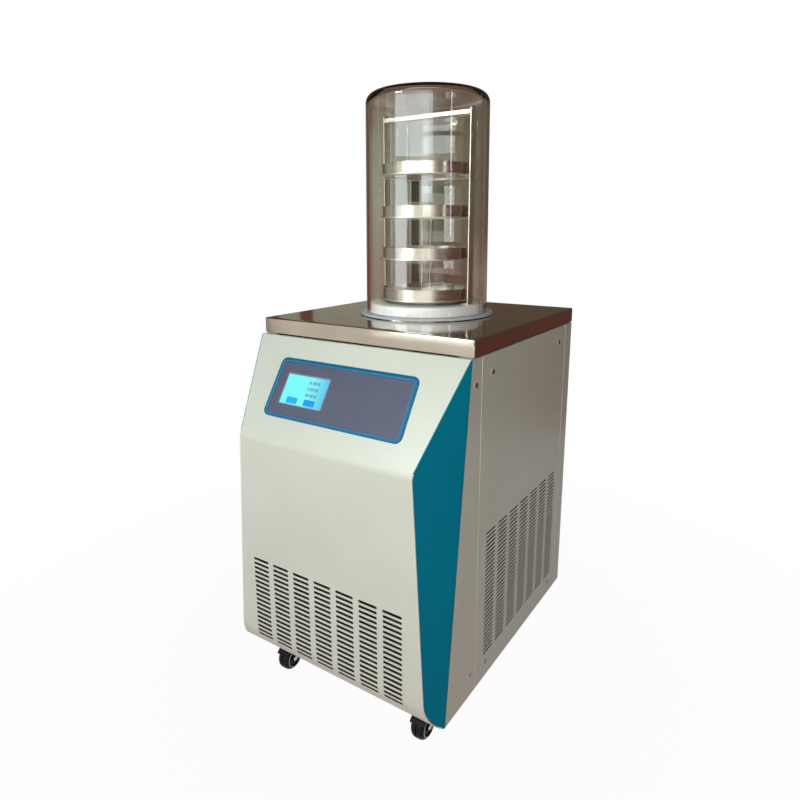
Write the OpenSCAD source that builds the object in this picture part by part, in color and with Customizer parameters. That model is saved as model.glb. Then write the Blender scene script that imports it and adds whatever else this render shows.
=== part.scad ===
// Bench-height vertical freeze dryer on casters: a sheet-metal cabinet with a slanted control face,
// a polished top plate, a clear vacuum drum over a four-tray rack, and the cold trap, refrigeration
// set, fan and electrics inside. Millimetres, +Z up, floor at Z = 0, front towards -Y.

/* [Cabinet] */
// Width and depth of the square top plate
plate_w = 470; // [440:5:540]
// Height of the top plate's upper face above the floor
worktop_h = 741; // [715:5:790]
// Depth of the top plate's folded lip
lip_h = 29; // [20:1:40]
// Clearance between the floor and the cabinet's lower edge
ground_gap = 81; // [78:1:90]
// Thickness of the painted and the stainless sheet
sheet = 1.5; // [1:0.1:2]
// Open seam between neighbouring panels
seam_gap = 0.8; // [0.3:0.1:1.5]
// Gap between the lip and the panels under it
lip_gap = 2.5; // [1:0.5:5]
// How far each side panel lies inside the plate's edge
side_inset = 1; // [0.5:0.5:3]

/* [Front cover] */
// Reach of the lower front face ahead of the drum's axis
front_reach = 354; // [335:1:380]
// Reach of the top of the slanted face ahead of the drum's axis
brow_reach = 244; // [240:1:260]
// Height of the bend between the lower and the slanted face above the cabinet's lower edge
bend_h = 458; // [420:1:500]
// Radius of that bend
bend_r = 24; // [10:1:40]
// Radius of the curve that carries the front face back under the cabinet
toe_r = 70; // [68:1:110]
// Height at which that curve starts
toe_h = 62; // [40:1:64]
// Half width of the front face at the bend, where the cheeks are widest
cheek_bend_x = 191; // [170:1:215]
// How far the cheeks' lower points lie ahead of the front cover's lower edge
cheek_toe_lead = 1.5; // [0.5:0.5:3]
// Thickness of the coloured cheeks
cheek_t = 1.5; // [1:0.1:2.5]
// Reach of the seam between the front cover and the side panels ahead of the drum's axis
seam_reach = 206; // [200:1:212]
// How far the rear panel wraps round the sides
rear_wrap = 37; // [30:1:45]

/* [Vents] */
// Length of a vent slot
slot_l = 39.5; // [30:0.5:42]
// Distance between the vent columns
slot_column_pitch = 51; // [46:0.5:52]
// Number of vent columns
slot_columns = 7; // [5:1:7]
// Height of a front slot
front_slot_h = 5; // [3:0.1:6]
// Distance between the front slots
front_slot_pitch = 9.7; // [8:0.1:10]
// Number of front slots in a column
front_slot_rows = 18; // [12:1:18]
// Height of the top front slot's middle above the cabinet's lower edge
front_slot_top = 209; // [190:1:230]
// Height of a side slot
side_slot_h = 3.6; // [2:0.1:5]
// Distance between the side slots
side_slot_pitch = 8.2; // [6:0.1:10]
// Number of side slots in a column
side_slot_rows = 31; // [20:1:31]
// Height of the lowest side slot's middle above the cabinet's lower edge
side_slot_low = 51; // [50:1:60]

/* [Control panel] */
// Width of the panel's frame
bezel_w = 308; // [280:1:320]
// Height of the frame along the slanted face
bezel_h = 116; // [100:1:130]
// Height of the frame's middle above the bend, along the slanted face
bezel_up = 104; // [95:1:110]
// Corner radius of the frame
bezel_r = 13; // [4:0.5:16]
// Thickness of the frame
bezel_t = 4.5; // [3:0.5:8]
// Width of the frame's left-hand border
bezel_left = 10; // [5:0.5:12]
// Width of the frame's right-hand border
bezel_right = 7.5; // [5:0.5:12]
// Width of the frame's top border
bezel_top = 9; // [5:0.5:14]
// Width of the frame's lower border
bezel_low = 5.5; // [4:0.5:12]
// Width of the screen
screen_w = 98; // [80:1:120]
// Height of the screen
screen_h = 56.5; // [45:0.5:64]
// Distance of the screen's middle left of the panel's middle
screen_left = 74; // [60:1:80]

/* [Drum and seat] */
// Outer radius of the drum at its open rim
drum_r = 125; // [122:0.5:130]
// How much narrower the drum is at its shoulder, for release from the mould
drum_draft = 3.5; // [0:0.5:6]
// Height of the drum
drum_h = 428; // [410:1:450]
// Wall of the drum
drum_wall = 5; // [4:0.5:5]
// Thickness of the drum's closed top
drum_top_t = 8; // [6:0.5:12]
// Radius of the drum's shoulder
drum_shoulder_r = 19; // [10:1:25]
// Rise of the drum's domed top
drum_crown = 4; // [1:0.5:8]
// Outer radius of the polished seat flange
seat_r = 139.5; // [136:0.5:150]
// Thickness of the seat flange
seat_t = 1.5; // [1:0.5:4]
// Thickness of the rubber seal under the drum
seal_t = 4; // [2:0.5:5]
// Outer radius of the white support ring
ring_r = 117; // [114:0.5:118]
// Inner radius of the support ring
ring_bore_r = 84; // [75:1:86]
// Height of the support ring
ring_h = 22.5; // [15:0.5:26]

/* [Rack and trays] */
// Half the distance between the rack's legs, to their outer faces
leg_x = 101; // [100:0.5:104]
// Width of the legs
leg_w = 20; // [12:1:24]
// Thickness of the rack's strip
strip_t = 2; // [1.5:0.1:3]
// Height of the legs
leg_h = 374; // [360:1:375]
// Distance of the top bar below the legs' tips
bar_drop = 7; // [4:0.5:12]
// Depth of the top bar's folded sides
bar_fold = 7.5; // [5:0.5:12]
// Height of the lowest shelf's upper face above the support ring
shelf_first = 9.8; // [6:0.1:14]
// Distance between the shelves
shelf_pitch = 80.4; // [70:0.1:82]
// Width of a shelf ring
shelf_band = 20; // [10:1:30]
// Outer radius of a tray
tray_r = 92; // [80:0.5:92]
// Height of a tray's rim
tray_h = 21; // [15:0.5:30]
// Wall of a tray
tray_wall = 1.2; // [0.8:0.1:1.6]

/* [Casters] */
// Radius of a caster's wheels
wheel_r = 25.5; // [24:0.5:26]
// Half width of a twin-wheel caster, to the wheels' outer faces
caster_half_w = 14; // [12:0.5:18]
// Distance of the casters' swivel axes from the cabinet's middle
caster_x = 166; // [150:1:170]
// Reach of the front swivel axes ahead of the drum's axis
caster_front = 256; // [240:1:258]
// Reach of the rear swivel axes behind the drum's axis
caster_rear = 185; // [170:1:190]
// Offset of a wheel's axle from its swivel axis
caster_trail = 20; // [15:1:24]

/* [Cold trap] */
// Inner radius of the cold trap
trap_r = 95; // [90:1:95]
// Depth of the cold trap below the top plate
trap_depth = 190; // [170:1:200]
// Wall of the cold trap
trap_wall = 1.5; // [1:0.1:2.5]
// Radius of the evaporator tube
coil_r = 5; // [4:0.5:6]
// Distance between the evaporator's turns
coil_pitch = 12.5; // [12:0.5:14]
// Number of evaporator turns
coil_turns = 8; // [6:1:8]
// Thickness of the insulation round the coil
foam_t = 34; // [25:1:40]

/* [Refrigeration and air] */
// Radius of the compressor's shell
compressor_r = 72; // [60:1:80]
// Height of the compressor's shell
compressor_h = 180; // [150:1:200]
// Width of the condenser
condenser_w = 320; // [280:2:340]
// Height of the condenser
condenser_h = 216; // [200:2:220]
// Depth of the condenser
condenser_d = 44; // [36:1:50]
// Number of condenser fins
fin_count = 24; // [12:1:30]
// Radius of the fan's blades
fan_r = 92; // [80:1:96]
// Number of fan blades
blade_count = 5; // [3:1:7]

/* [Rear fittings] */
// How far the vacuum port stands out behind the top plate
port_out = 30; // [25:1:40]
// Bore radius of the vacuum port
port_bore_r = 12.5; // [10:0.5:13]
// Outer radius of the vacuum port's flange
port_flange_r = 20; // [18:0.5:25]
// Distance of the vacuum port below the top plate
port_drop = 55; // [52:1:57]
// Distance of the drain valve below the cold trap's floor
drain_drop = 70; // [60:1:80]
// Bore radius of the drain
drain_bore_r = 4; // [3:0.5:5]

/* [Hidden] */
$fn = 64;
eps = 0.01;

// Overall places, with the cabinet's lower edge at Z = 0 and the drum's axis at X = Y = 0.
body_h = worktop_h - ground_gap;
half_w = plate_w / 2 - side_inset;
inner_x = half_w - sheet;
rear_y = half_w;
inner_rear_y = rear_y - sheet;
axis_y = (front_reach - plate_w / 2 - port_out) / 2;
panel_h = body_h - lip_h - lip_gap;
plate_under = body_h - sheet;

// Slanted face.
slant_rise = panel_h - bend_h;
slant_run = front_reach - brow_reach;
slant_len = sqrt(slant_rise * slant_rise + slant_run * slant_run);
slant_tilt = atan2(slant_rise, slant_run);
bend_turn = 90 - slant_tilt;
overlay_up = bezel_up + (bezel_low - bezel_top) / 2;
overlay_x = (bezel_left - bezel_right) / 2;
overlay_w = bezel_w - bezel_left - bezel_right;
overlay_h = bezel_h - bezel_top - bezel_low;

// Plane of a cheek, through the brow's corner, the bend and the toe's point.
cheek_brow = [half_w, -brow_reach, panel_h];
cheek_bend = [cheek_bend_x, -front_reach, bend_h];
cheek_toe_reach = front_reach - toe_r + sqrt(toe_r * toe_r - toe_h * toe_h) + cheek_toe_lead;
cheek_toe = [half_w, -cheek_toe_reach, 0];
cut_depth = 2 * half_w;
cheek_cross = cross(cheek_bend - cheek_brow, cheek_toe - cheek_brow);
cheek_n = cheek_cross / norm(cheek_cross);

// Base frame.
toe_inside = sqrt(pow(toe_r - sheet, 2) - toe_h * toe_h);
pan_front = front_reach - toe_r + toe_inside - 8;
pan_t = 2;
pan_flange = 38;
pan_low_flange = 14;
post_t = 2;
post_w = 40;
post_leg = 25;
post_x = inner_x - pan_t;
rail_w = 30;
rail_drop = 40.5;
rail_mid = panel_h - rail_drop;
front_post_y = -(plate_w / 2 - sheet - 1);
rear_post_y = inner_rear_y - pan_t - post_w;

// Side panels and their vents.
side_rear_y = rear_y - rear_wrap;
screen_margin = 6;
screen_t = 2;
vent_span = (slot_columns - 1) * slot_column_pitch + slot_l;
side_vent_h = (side_slot_rows - 1) * side_slot_pitch + side_slot_h;
rear_vent_x = -62;
rear_vent_columns = 4;
rear_vent_top = 229;

// Screws.
screw_r = 2;
screw_clear = 0.2;
screw_head_r = 4.8;
screw_lift = 7;
screw_head_h = 1.8;
screw_l = 8;
side_screw_inset = 41;
strip_screw_y = front_post_y + 5;
rear_screw_x = half_w - 16;
rear_screw_zs = [26, panel_h / 2, panel_h - 28];

// Seat, drum and rack.
seat_lip = 0.8;
seat_lip_w = 2.2;
seat_top = body_h + seat_t;
seal_in_r = ring_r + 0.5;
seal_out_r = seat_r - seat_lip_w - 0.3;
drum_z = seat_top + seal_t;
drum_in_r = drum_r - drum_wall;
ring_top = seat_top + ring_h;
foot_l = 14;
leg_in = leg_x - strip_t;
leg_top = ring_top + leg_h;
bar_top = leg_top - bar_drop;
shelf_r = leg_in - 1;
shelf_ear = 16;

// Cold trap.
trap_flange_r = trap_r + 16;
trap_flange_t = 2;
trap_floor = body_h - trap_depth;
trap_out_r = trap_r + trap_wall;
fit_gap = 0.3;
coil_low = trap_floor + 12;
coil_high = coil_low + coil_turns * coil_pitch;
coil_steps = 30;
coil_mid_r = (trap_out_r + fit_gap) / cos(180 / coil_steps) + coil_r;
coil_sides = 8;
foam_in_r = coil_mid_r + coil_r + 0.5;
foam_out_r = foam_in_r + foam_t;
foam_floor = trap_floor - trap_wall - foam_t;
foam_top = plate_under - trap_flange_t;

// Vacuum and drain lines.
port_h = body_h - port_drop;
port_pipe_r = port_bore_r + 1.5;
port_end = plate_w / 2 + port_out;
port_flange_t = 6;
drain_h = trap_floor - drain_drop;
drain_pipe_r = drain_bore_r + 1.2;
drain_bend = 16;
valve_r = 9;
valve_end = rear_y + 26;
valve_mid = rear_y + 14;
nozzle_l = 18;
stem_r = 3.5;
stem_sink = 6;
lever_t = 2.5;
lever_l = 30;
lever_w = 9;
lever_lift = valve_r + 4;
run_gap = 0.06;

// Refrigeration set.
compressor_x = -88;
compressor_y = 90;
compressor_round = 40;
foot_h = 14;
foot_r = 9;
foot_plate = 150;
foot_plate_t = 3;
foot_inset = 14;
compressor_z = pan_t + foot_h;
shell_z = compressor_z + foot_plate_t;
compressor_top = shell_z + compressor_h;
terminal_w = 52;
terminal_h = 58;
terminal_lift = 70;
terminal_z = shell_z + terminal_lift;
stub_r = 6;
stub_top = compressor_top + 22;
line_r = 5;
line_bend = 16;
suction_x = -coil_mid_r;
discharge_x = compressor_x + 30;
discharge_y = compressor_y - 20;
line_gap = 0.2;
condenser_z = pan_t + 14;
condenser_front = pan_front - 3;
condenser_back = condenser_front - condenser_d;
condenser_y = -(condenser_front + condenser_back) / 2;
condenser_top = condenser_z + condenser_h;
tube_rows = 6;
tube_r = 5;
tube_pitch = condenser_h / tube_rows;
fin_t = 0.8;
end_plate_t = 1.5;
tube_end = condenser_w / 2 + 4;
shroud_d = 36;
shroud_t = 1.5;
shroud_back = -condenser_back + shroud_d;
fan_z = condenser_z + condenser_h / 2;
fan_gap = 4;
collar_d = 6;
bracket_t = 2;
bracket_x = 20;
bracket_w = 12;
bracket_off = 10;
hub_r = 28;
hub_d = 24;
hub_y = shroud_back - 17;
blade_t = 2;
blade_tilt = 34;
blade_chord = 48;
shaft_r = 4;
shaft_sink = 24;
motor_r = 34;
motor_d = 52;
motor_y = shroud_back + bracket_off + bracket_t;
drier_r = 16;
drier_h = 120;
drier_z = 300;
drier_y = -160;
over_z = condenser_top + 26;
over_x = -(condenser_w / 2 + 23);
under_x = over_x - 12;
line_side = 14;
line_rise = 18;

// Electrics.
controller_w = bezel_w - 8;
controller_h = bezel_h - 10;
controller_d = 40;
supply_size = [110, 120, 52];
supply_bar = 20;
supply_ear = 12;
supply_at = [62, 40];
entry_x = 150;
entry_z = 78;
entry_w = 50;
entry_h = 58;
entry_d = 30;
entry_flange_t = 3;
entry_face = rear_y + entry_flange_t;
inlet_w = 28;
inlet_h = 20;
inlet_d = 20;
inlet_z = entry_z - entry_h / 2 + 4 + inlet_h / 2;
socket_z = 140;
socket_h = 28;
rocker_w = 18;
rocker_r = 13;
rocker_tilt = 8;
rocker_pivot_y = entry_face - 3;
rocker_z = entry_z + entry_h / 2 - 4 - rocker_r;
rocker_pin_r = 2;
rocker_pin_l = 1.5;

// Casters.
caster_plate = 54;
caster_plate_t = 2.5;
king_r = 5;
race_r = 16;
race_t = 3.5;
caster_gap = 0.3;
neck_r = 10;
axle_z = wheel_r - ground_gap;
neck_low = axle_z + sqrt(wheel_r * wheel_r - pow(caster_trail - neck_r, 2)) + 1.5;
neck_top = -(caster_plate_t + race_t + caster_gap);
king_low = neck_low + 3;
web_t = 2.4;
hood_gap = 1;
hood_t = 1.5;
hood_low = axle_z + 15;
wheel_in = 1.7;
crown_x = 4;
face_r = wheel_r - 6.5;
crown_run = caster_half_w - crown_x;
crown_r = (pow(wheel_r - face_r, 2) + crown_run * crown_run) / (2 * (wheel_r - face_r));
dish_r = face_r - 1.8;
dish_d = 2.5;
boss_r = 8;
boss_drop = 1;
axle_r = 3.5;
axle_head_r = 5.5;
axle_head_gap = 0.4;
axle_head_t = 2.2;

// ---- Helpers ----

// Puts what is drawn about the drum's axis and the cabinet's lower edge into the part's own frame.
module in_cabinet() {
    translate([0, axis_y, ground_gap]) children();
}

// Local X along the front, Y up the slanted face from the bend, Z out of it.
module on_slant(up) {
    translate([0, -front_reach, bend_h])
        rotate([slant_tilt, 0, 0])
            translate([0, up, 0]) children();
}

module both_sides() {
    children();
    mirror([1, 0, 0]) children();
}

module block(x0, x1, y0, y1, z0, z1) {
    translate([x0, y0, z0]) cube([x1 - x0, y1 - y0, z1 - z0]);
}

// Cylinder along Y from y0 to y1.
module rod_y(r, y0, y1) {
    translate([0, y0, 0]) rotate([-90, 0, 0]) cylinder(r = r, h = y1 - y0);
}

// Cylinder along X, centred.
module rod_x(r, l) {
    rotate([0, 90, 0]) cylinder(r = r, h = l, center = true);
}

// Flat annulus.
module washer(r_out, r_in, h) {
    difference() {
        cylinder(r = r_out, h = h, $fn = 128);
        translate([0, 0, -1]) cylinder(r = r_in, h = h + 2, $fn = 128);
    }
}

// Slot with round ends, middle at the origin, length along X.
module slot_2d(l, h) {
    square([l - h, h], center = true);
    for (side = [-1, 1]) translate([side * (l - h) / 2, 0]) circle(d = h, $fn = 24);
}

// Rectangle with round corners, middle at the origin.
module round_rect(w, h, r) {
    square([w - 2 * r, h], center = true);
    square([w, h - 2 * r], center = true);
    for (sx = [-1, 1], sy = [-1, 1]) translate([sx * (w / 2 - r), sy * (h / 2 - r)]) circle(r = r);
}

// Tube through the corners of a route of straight runs that turn by right angles.
module pipe(route, r, bend) {
    last = len(route) - 1;
    for (i = [0 : last - 1]) {
        way = (route[i + 1] - route[i]) / norm(route[i + 1] - route[i]);
        from = route[i] + way * (i == 0 ? 0 : bend);
        to = route[i + 1] - way * (i == last - 1 ? 0 : bend);
        run(from, to, r);
    }
    if (last > 1) for (i = [1 : last - 1]) {
        a = route[i];
        u = (a - route[i - 1]) / norm(a - route[i - 1]);
        v = (route[i + 1] - a) / norm(route[i + 1] - a);
        w = cross(-v, u);
        c = a + bend * (v - u);
        multmatrix([
            [-v[0], u[0], w[0], c[0]],
            [-v[1], u[1], w[1], c[1]],
            [-v[2], u[2], w[2], c[2]],
            [0, 0, 0, 1]
        ])
            rotate_extrude(angle = 90) translate([bend, 0]) circle(r = r, $fn = 32);
    }
}

// Straight run of tube along one of the axes.
module run(from, to, r) {
    d = to - from;
    along_x = abs(d[0]) > eps;
    along_y = abs(d[1]) > eps;
    turn = along_x ? [0, sign(d[0]) * 90, 0] : along_y ? [-sign(d[1]) * 90, 0, 0]
         : [d[2] < 0 ? 180 : 0, 0, 0];
    translate(from) rotate(turn) cylinder(r = r, h = norm(d), $fn = 32);
}

// Pan-head screw with a cross recess, head towards +Z, its seat at the origin.
module screw() {
    difference() {
        union() {
            cylinder(r = screw_head_r, h = screw_head_h, $fn = 32);
            translate([0, 0, -screw_l]) cylinder(r = screw_r, h = screw_l + 1, $fn = 24);
        }
        for (turn = [0, 90]) {
            rotate([0, 0, turn])
                translate([-screw_head_r * 0.6, -0.5, screw_head_h * 0.4])
                    cube([screw_head_r * 1.2, 1, screw_head_h]);
        }
    }
}

module screw_hole() {
    cylinder(r = screw_r + screw_clear, h = 3 * screw_l, center = true, $fn = 24);
}

// Screws on the right-hand side; each is [y, z].
side_screws = [
    [-seam_reach + side_screw_inset, rail_mid + screw_lift],
    [side_rear_y - side_screw_inset, rail_mid + screw_lift],
    [-seam_reach + side_screw_inset, 31],
    [side_rear_y - side_screw_inset, 31]
];
strip_screws = [
    [strip_screw_y, rail_mid + screw_lift - 11],
    [strip_screw_y, 44]
];

// Draws its children at the screws in a list, on both sides of the cabinet, pointing outwards.
module at_side_screws(places) {
    for (side = [-1, 1], p = places) {
        translate([side * half_w, p[0], p[1]]) rotate([0, side * 90, 0]) children();
    }
}

module at_rear_screws() {
    for (side = [-1, 1], z = rear_screw_zs) {
        translate([side * rear_screw_x, rear_y, z]) rotate([-90, 0, 0]) children();
    }
}

module slot_columns_2d(h, columns) {
    for (column = [0 : columns - 1]) {
        translate([(column - (columns - 1) / 2) * slot_column_pitch, 0]) slot_2d(slot_l, h);
    }
}

// ---- Front cover and cheeks ----

// Wedge between a convex corner and the round that replaces it.
module corner_waste(a, corner, b, centre, r) {
    difference() {
        polygon([a, 2 * corner - (a + b) / 2, b]);
        translate(centre) circle(r = r, $fn = 128);
    }
}

// Outline of the front cover seen from the side, moved in by inset.
module cover_profile(inset) {
    front = -front_reach + inset;
    top = panel_h - inset;
    corner = [front, bend_h - inset * tan(bend_turn / 2)];
    brow_y = front + (top - corner[1]) * tan(bend_turn);
    tangent = (bend_r - inset) * tan(bend_turn / 2);
    up = [sin(bend_turn), cos(bend_turn)];
    low = -4 * inset;
    difference() {
        polygon([[-seam_reach, low], [-seam_reach, top], [brow_y, top], corner, [front, low]]);
        corner_waste(
            corner - [0, tangent], corner, corner + tangent * up,
            [front + bend_r - inset, corner[1] - tangent], bend_r - inset
        );
        difference() {
            translate([front - 1, low - 1]) square([toe_r - inset + 1, toe_h - low + 1]);
            translate([front + toe_r - inset, toe_h]) circle(r = toe_r - inset, $fn = 160);
        }
    }
}

// Slab lying along a cheek's plane on the right-hand side, starting inset inside it.
module cheek_slab(inset, thick) {
    reach = 1600;
    translate(cheek_brow - cheek_n * inset)
        rotate([0, acos(cheek_n[2]), atan2(cheek_n[1], cheek_n[0])])
            translate([-reach / 2, -reach / 2, 0]) cube([reach, reach, thick]);
}

// The front cover's outline as a full-width block, moved in by inset.
module profile_block(inset) {
    translate([-(half_w - inset), 0, 0])
        rotate([90, 0, 90])
            linear_extrude(height = 2 * (half_w - inset)) cover_profile(inset);
}

// Block inside the front cover's faces, the profile moved in by inset, the cheeks by cheek_inset.
module cover_block(inset, cheek_inset) {
    difference() {
        profile_block(inset);
        both_sides() cheek_slab(cheek_inset, cut_depth);
    }
}

// Places its children on the lower front face at a height, or as far round the toe below it.
module on_front_face(z) {
    turn = max(0, toe_h - z) / toe_r * 180 / PI;
    translate([0, -front_reach + toe_r, max(z, toe_h)])
        rotate([turn, 0, 0])
            translate([0, -toe_r, 0]) rotate([90, 0, 0]) children();
}

module front_slots() {
    for (row = [0 : front_slot_rows - 1]) {
        on_front_face(front_slot_top - row * front_slot_pitch)
            linear_extrude(height = 6 * sheet, center = true)
                slot_columns_2d(front_slot_h, slot_columns);
    }
}

module front_cover() {
    color("#d2d2c6") in_cabinet() difference() {
        cover_block(0, cheek_t);
        cover_block(sheet, cheek_t + sheet);
        block(-inner_x, inner_x, front_post_y - 3, -seam_reach + 1, panel_h - 2 * sheet, panel_h + 1);
        front_slots();
        on_slant(overlay_up)
            linear_extrude(height = 6 * sheet, center = true)
                round_rect(bezel_w - 24, bezel_h - 22, 3);
        at_side_screws(strip_screws) screw_hole();
    }
}

module cheek() {
    color("#0d6a85") in_cabinet() intersection() {
        profile_block(0);
        cheek_slab(cheek_t, cheek_t);
    }
}

module cheek_right() cheek();
module cheek_left() mirror([1, 0, 0]) cheek();

// ---- Frame and panels ----

// Folded angle standing in a corner, its end leg at y0 or, turned, at y0 + post_w.
module post(y0, turned) {
    end_y = turned ? y0 + post_w - post_t : y0;
    block(post_x - post_t, post_x, y0, y0 + post_w, pan_t - 0.5, plate_under);
    block(post_x - post_leg, post_x, end_y, end_y + post_t, pan_t - 0.5, plate_under);
}

module rail() {
    y0 = front_post_y + 10;
    y1 = rear_post_y + post_w - 10;
    block(post_x - 1, inner_x, y0, y1, rail_mid - rail_w / 2, rail_mid + rail_w / 2);
    low = rail_mid - rail_w / 2;
    block(post_x - 18, inner_x, y0 + post_w, y1 - post_w, low, low + pan_t);
}

// Welded base pan, corner posts and side rails.
module base_frame() {
    color("#9b9b93") in_cabinet() difference() {
        union() {
            difference() {
                block(-inner_x, inner_x, -pan_front, inner_rear_y, 0, pan_flange);
                block(-post_x, post_x, -pan_front + pan_t, inner_rear_y - pan_t, pan_t, pan_flange + 1);
                block(-half_w, half_w, -pan_front - 1, -condenser_back, pan_low_flange, pan_flange + 1);
                both_sides() cheek_slab(cheek_t + sheet, cut_depth);
            }
            both_sides() {
                post(front_post_y, false);
                post(rear_post_y, true);
                rail();
            }
        }
        at_side_screws(concat(side_screws, strip_screws)) screw_hole();
        at_rear_screws() screw_hole();
    }
}

module side_panel() {
    color("#cfcfc3") in_cabinet() difference() {
        translate([half_w, 0, 0])
            rotate([90, 0, -90])
                linear_extrude(height = sheet) difference() {
                    translate([seam_gap - side_rear_y, 0])
                        square([side_rear_y + seam_reach - 2 * seam_gap, panel_h]);
                    for (row = [0 : side_slot_rows - 1]) {
                        translate([0, side_slot_low + row * side_slot_pitch])
                            slot_columns_2d(side_slot_h, slot_columns);
                    }
                }
        at_side_screws(side_screws) screw_hole();
    }
}

module side_panel_right() side_panel();
module side_panel_left() mirror([1, 0, 0]) side_panel();

// Through a rectangle of the rear panel, middle at x, z.
module rear_window(x, z, w, h) {
    block(x - w / 2, x + w / 2, rear_y - 10, rear_y + 10, z - h / 2, z + h / 2);
}

module rear_panel() {
    color("#cfcfc3") in_cabinet() difference() {
        block(-half_w, half_w, side_rear_y, rear_y, 0, panel_h);
        block(-inner_x, inner_x, side_rear_y - 1, inner_rear_y, -1, panel_h + 1);
        for (row = [0 : front_slot_rows - 1]) {
            translate([rear_vent_x, rear_y, rear_vent_top - row * front_slot_pitch])
                rotate([90, 0, 0])
                    linear_extrude(height = 6 * sheet, center = true)
                        slot_columns_2d(front_slot_h, rear_vent_columns);
        }
        at_rear_screws() screw_hole();
        translate([0, 0, port_h]) rod_y(port_pipe_r + 1, rear_y - 10, rear_y + 5);
        translate([0, 0, drain_h]) rod_y(drain_pipe_r + 1, rear_y - 10, rear_y + 5);
        rear_window(entry_x, entry_z, entry_w - 5, entry_h - 5);
        rear_window(entry_x, socket_z, entry_w - 14, socket_h - 5);
    }
}

// Filter mats behind the side vents.
module vent_screens() {
    color("#74776b") in_cabinet() both_sides() {
        reach = vent_span / 2 + screen_margin;
        z0 = side_slot_low - side_slot_h / 2 - screen_margin;
        block(inner_x - screen_t, inner_x, -reach, reach, z0, z0 + side_vent_h + 2 * screen_margin);
    }
}

module panel_screws() {
    color("#b9b9b4") in_cabinet() {
        at_side_screws(concat(side_screws, strip_screws)) screw();
        at_rear_screws() screw();
    }
}

module top_plate() {
    color("#8f8d82") in_cabinet() difference() {
        translate([0, 0, body_h - lip_h])
            linear_extrude(height = lip_h) round_rect(plate_w, plate_w, 4);
        translate([0, 0, body_h - lip_h - 1])
            linear_extrude(height = lip_h + 1 - sheet)
                round_rect(plate_w - 2 * sheet, plate_w - 2 * sheet, 4 - sheet);
        translate([0, 0, body_h - lip_h]) cylinder(r = trap_r, h = 2 * lip_h, $fn = 128);
    }
}

// ---- Drum, seat, rack and trays ----

module seat_flange() {
    color("#c9c6bf") in_cabinet() translate([0, 0, body_h]) {
        washer(seat_r, trap_r, seat_t);
        washer(seat_r, seat_r - seat_lip_w, seat_t + seat_lip);
    }
}

module seal_ring() {
    color("#b2b4b2") in_cabinet() translate([0, 0, seat_top]) washer(seal_out_r, seal_in_r, seal_t);
}

module support_ring() {
    color("#f0f0ec") in_cabinet() translate([0, 0, seat_top]) washer(ring_r, ring_bore_r, ring_h);
}

// Half outline of the drum's outer or inner surface, moved in by wall, its crown at top.
module drum_half(wall, top, low) {
    round_r = drum_shoulder_r - wall;
    cz = top - drum_crown - round_r;
    rc = drum_r - wall - drum_draft * cz / drum_h;
    cx = rc - round_r;
    dome_r = (cx * cx + drum_crown * drum_crown) / (2 * drum_crown);
    intersection() {
        union() {
            polygon([[0, low], [drum_r - wall - drum_draft * low / drum_h, low], [rc, cz], [cx, cz],
                     [cx, top + 1], [0, top + 1]]);
            translate([cx, cz]) circle(r = round_r, $fn = 96);
        }
        translate([0, top - dome_r]) circle(r = dome_r, $fn = 720);
    }
}

module drum() {
    color([0.75, 0.74, 0.68, 0.35]) in_cabinet() translate([0, 0, drum_z]) rotate_extrude($fn = 160)
        difference() {
            drum_half(0, drum_h, 0);
            drum_half(drum_wall, drum_h - drum_top_t, -1);
        }
}

// One leg of the rack with its foot, on the right-hand side.
module rack_leg() {
    block(leg_in, leg_x, -leg_w / 2, leg_w / 2, ring_top, bar_top);
    block(leg_x - foot_l, leg_x, -leg_w / 2, leg_w / 2, ring_top, ring_top + strip_t);
    difference() {
        block(leg_in, leg_x, -leg_w / 2, leg_w / 2, bar_top - 1, leg_top);
        for (side = [-1, 1]) {
            translate([leg_x, side * leg_w / 2, leg_top]) rotate([45, 0, 0]) cube([9, 5, 5], center = true);
        }
    }
}

module rack_frame() {
    color("#b5b5b3") in_cabinet() {
        both_sides() rack_leg();
        difference() {
            block(-leg_in - 0.5, leg_in + 0.5, -leg_w / 2, leg_w / 2, bar_top - bar_fold, bar_top);
            block(-leg_in - 1, leg_in + 1, strip_t - leg_w / 2, leg_w / 2 - strip_t, bar_top - bar_fold - 1,
                  bar_top - strip_t);
        }
    }
}

module rack_shelves() {
    color("#b5b5b3") in_cabinet() for (level = [0 : 3]) {
        translate([0, 0, shelf_z(level) - strip_t]) difference() {
            union() {
                cylinder(r = shelf_r, h = strip_t, $fn = 128);
                block(-leg_in, leg_in, -shelf_ear / 2, shelf_ear / 2, 0, strip_t);
            }
            translate([0, 0, -1]) cylinder(r = shelf_r - shelf_band, h = strip_t + 2, $fn = 128);
        }
    }
}

function shelf_z(level) = ring_top + shelf_first + level * shelf_pitch;

// Shallow round pan with a turned-out lip.
module tray(level) {
    color("#b9b7b0") in_cabinet() translate([0, 0, shelf_z(level)]) difference() {
        union() {
            cylinder(r = tray_r - 1.5, h = tray_h, $fn = 128);
            translate([0, 0, tray_h - tray_wall]) cylinder(r = tray_r, h = tray_wall, $fn = 128);
        }
        translate([0, 0, tray_wall]) cylinder(r = tray_r - 1.5 - tray_wall, h = tray_h, $fn = 128);
    }
}

module tray_1() tray(0);
module tray_2() tray(1);
module tray_3() tray(2);
module tray_4() tray(3);

// ---- Cold trap, vacuum and drain ----

module cold_trap() {
    color("#bdbbb6") in_cabinet() difference() {
        rotate_extrude($fn = 160) polygon([
            [drain_bore_r, trap_floor], [trap_r, trap_floor], [trap_r, plate_under],
            [trap_flange_r, plate_under], [trap_flange_r, foam_top], [trap_out_r, foam_top],
            [trap_out_r, trap_floor - trap_wall], [drain_bore_r, trap_floor - trap_wall]
        ]);
        translate([0, 0, port_h]) rod_y(port_bore_r, 0, trap_out_r + 5);
    }
}

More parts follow.
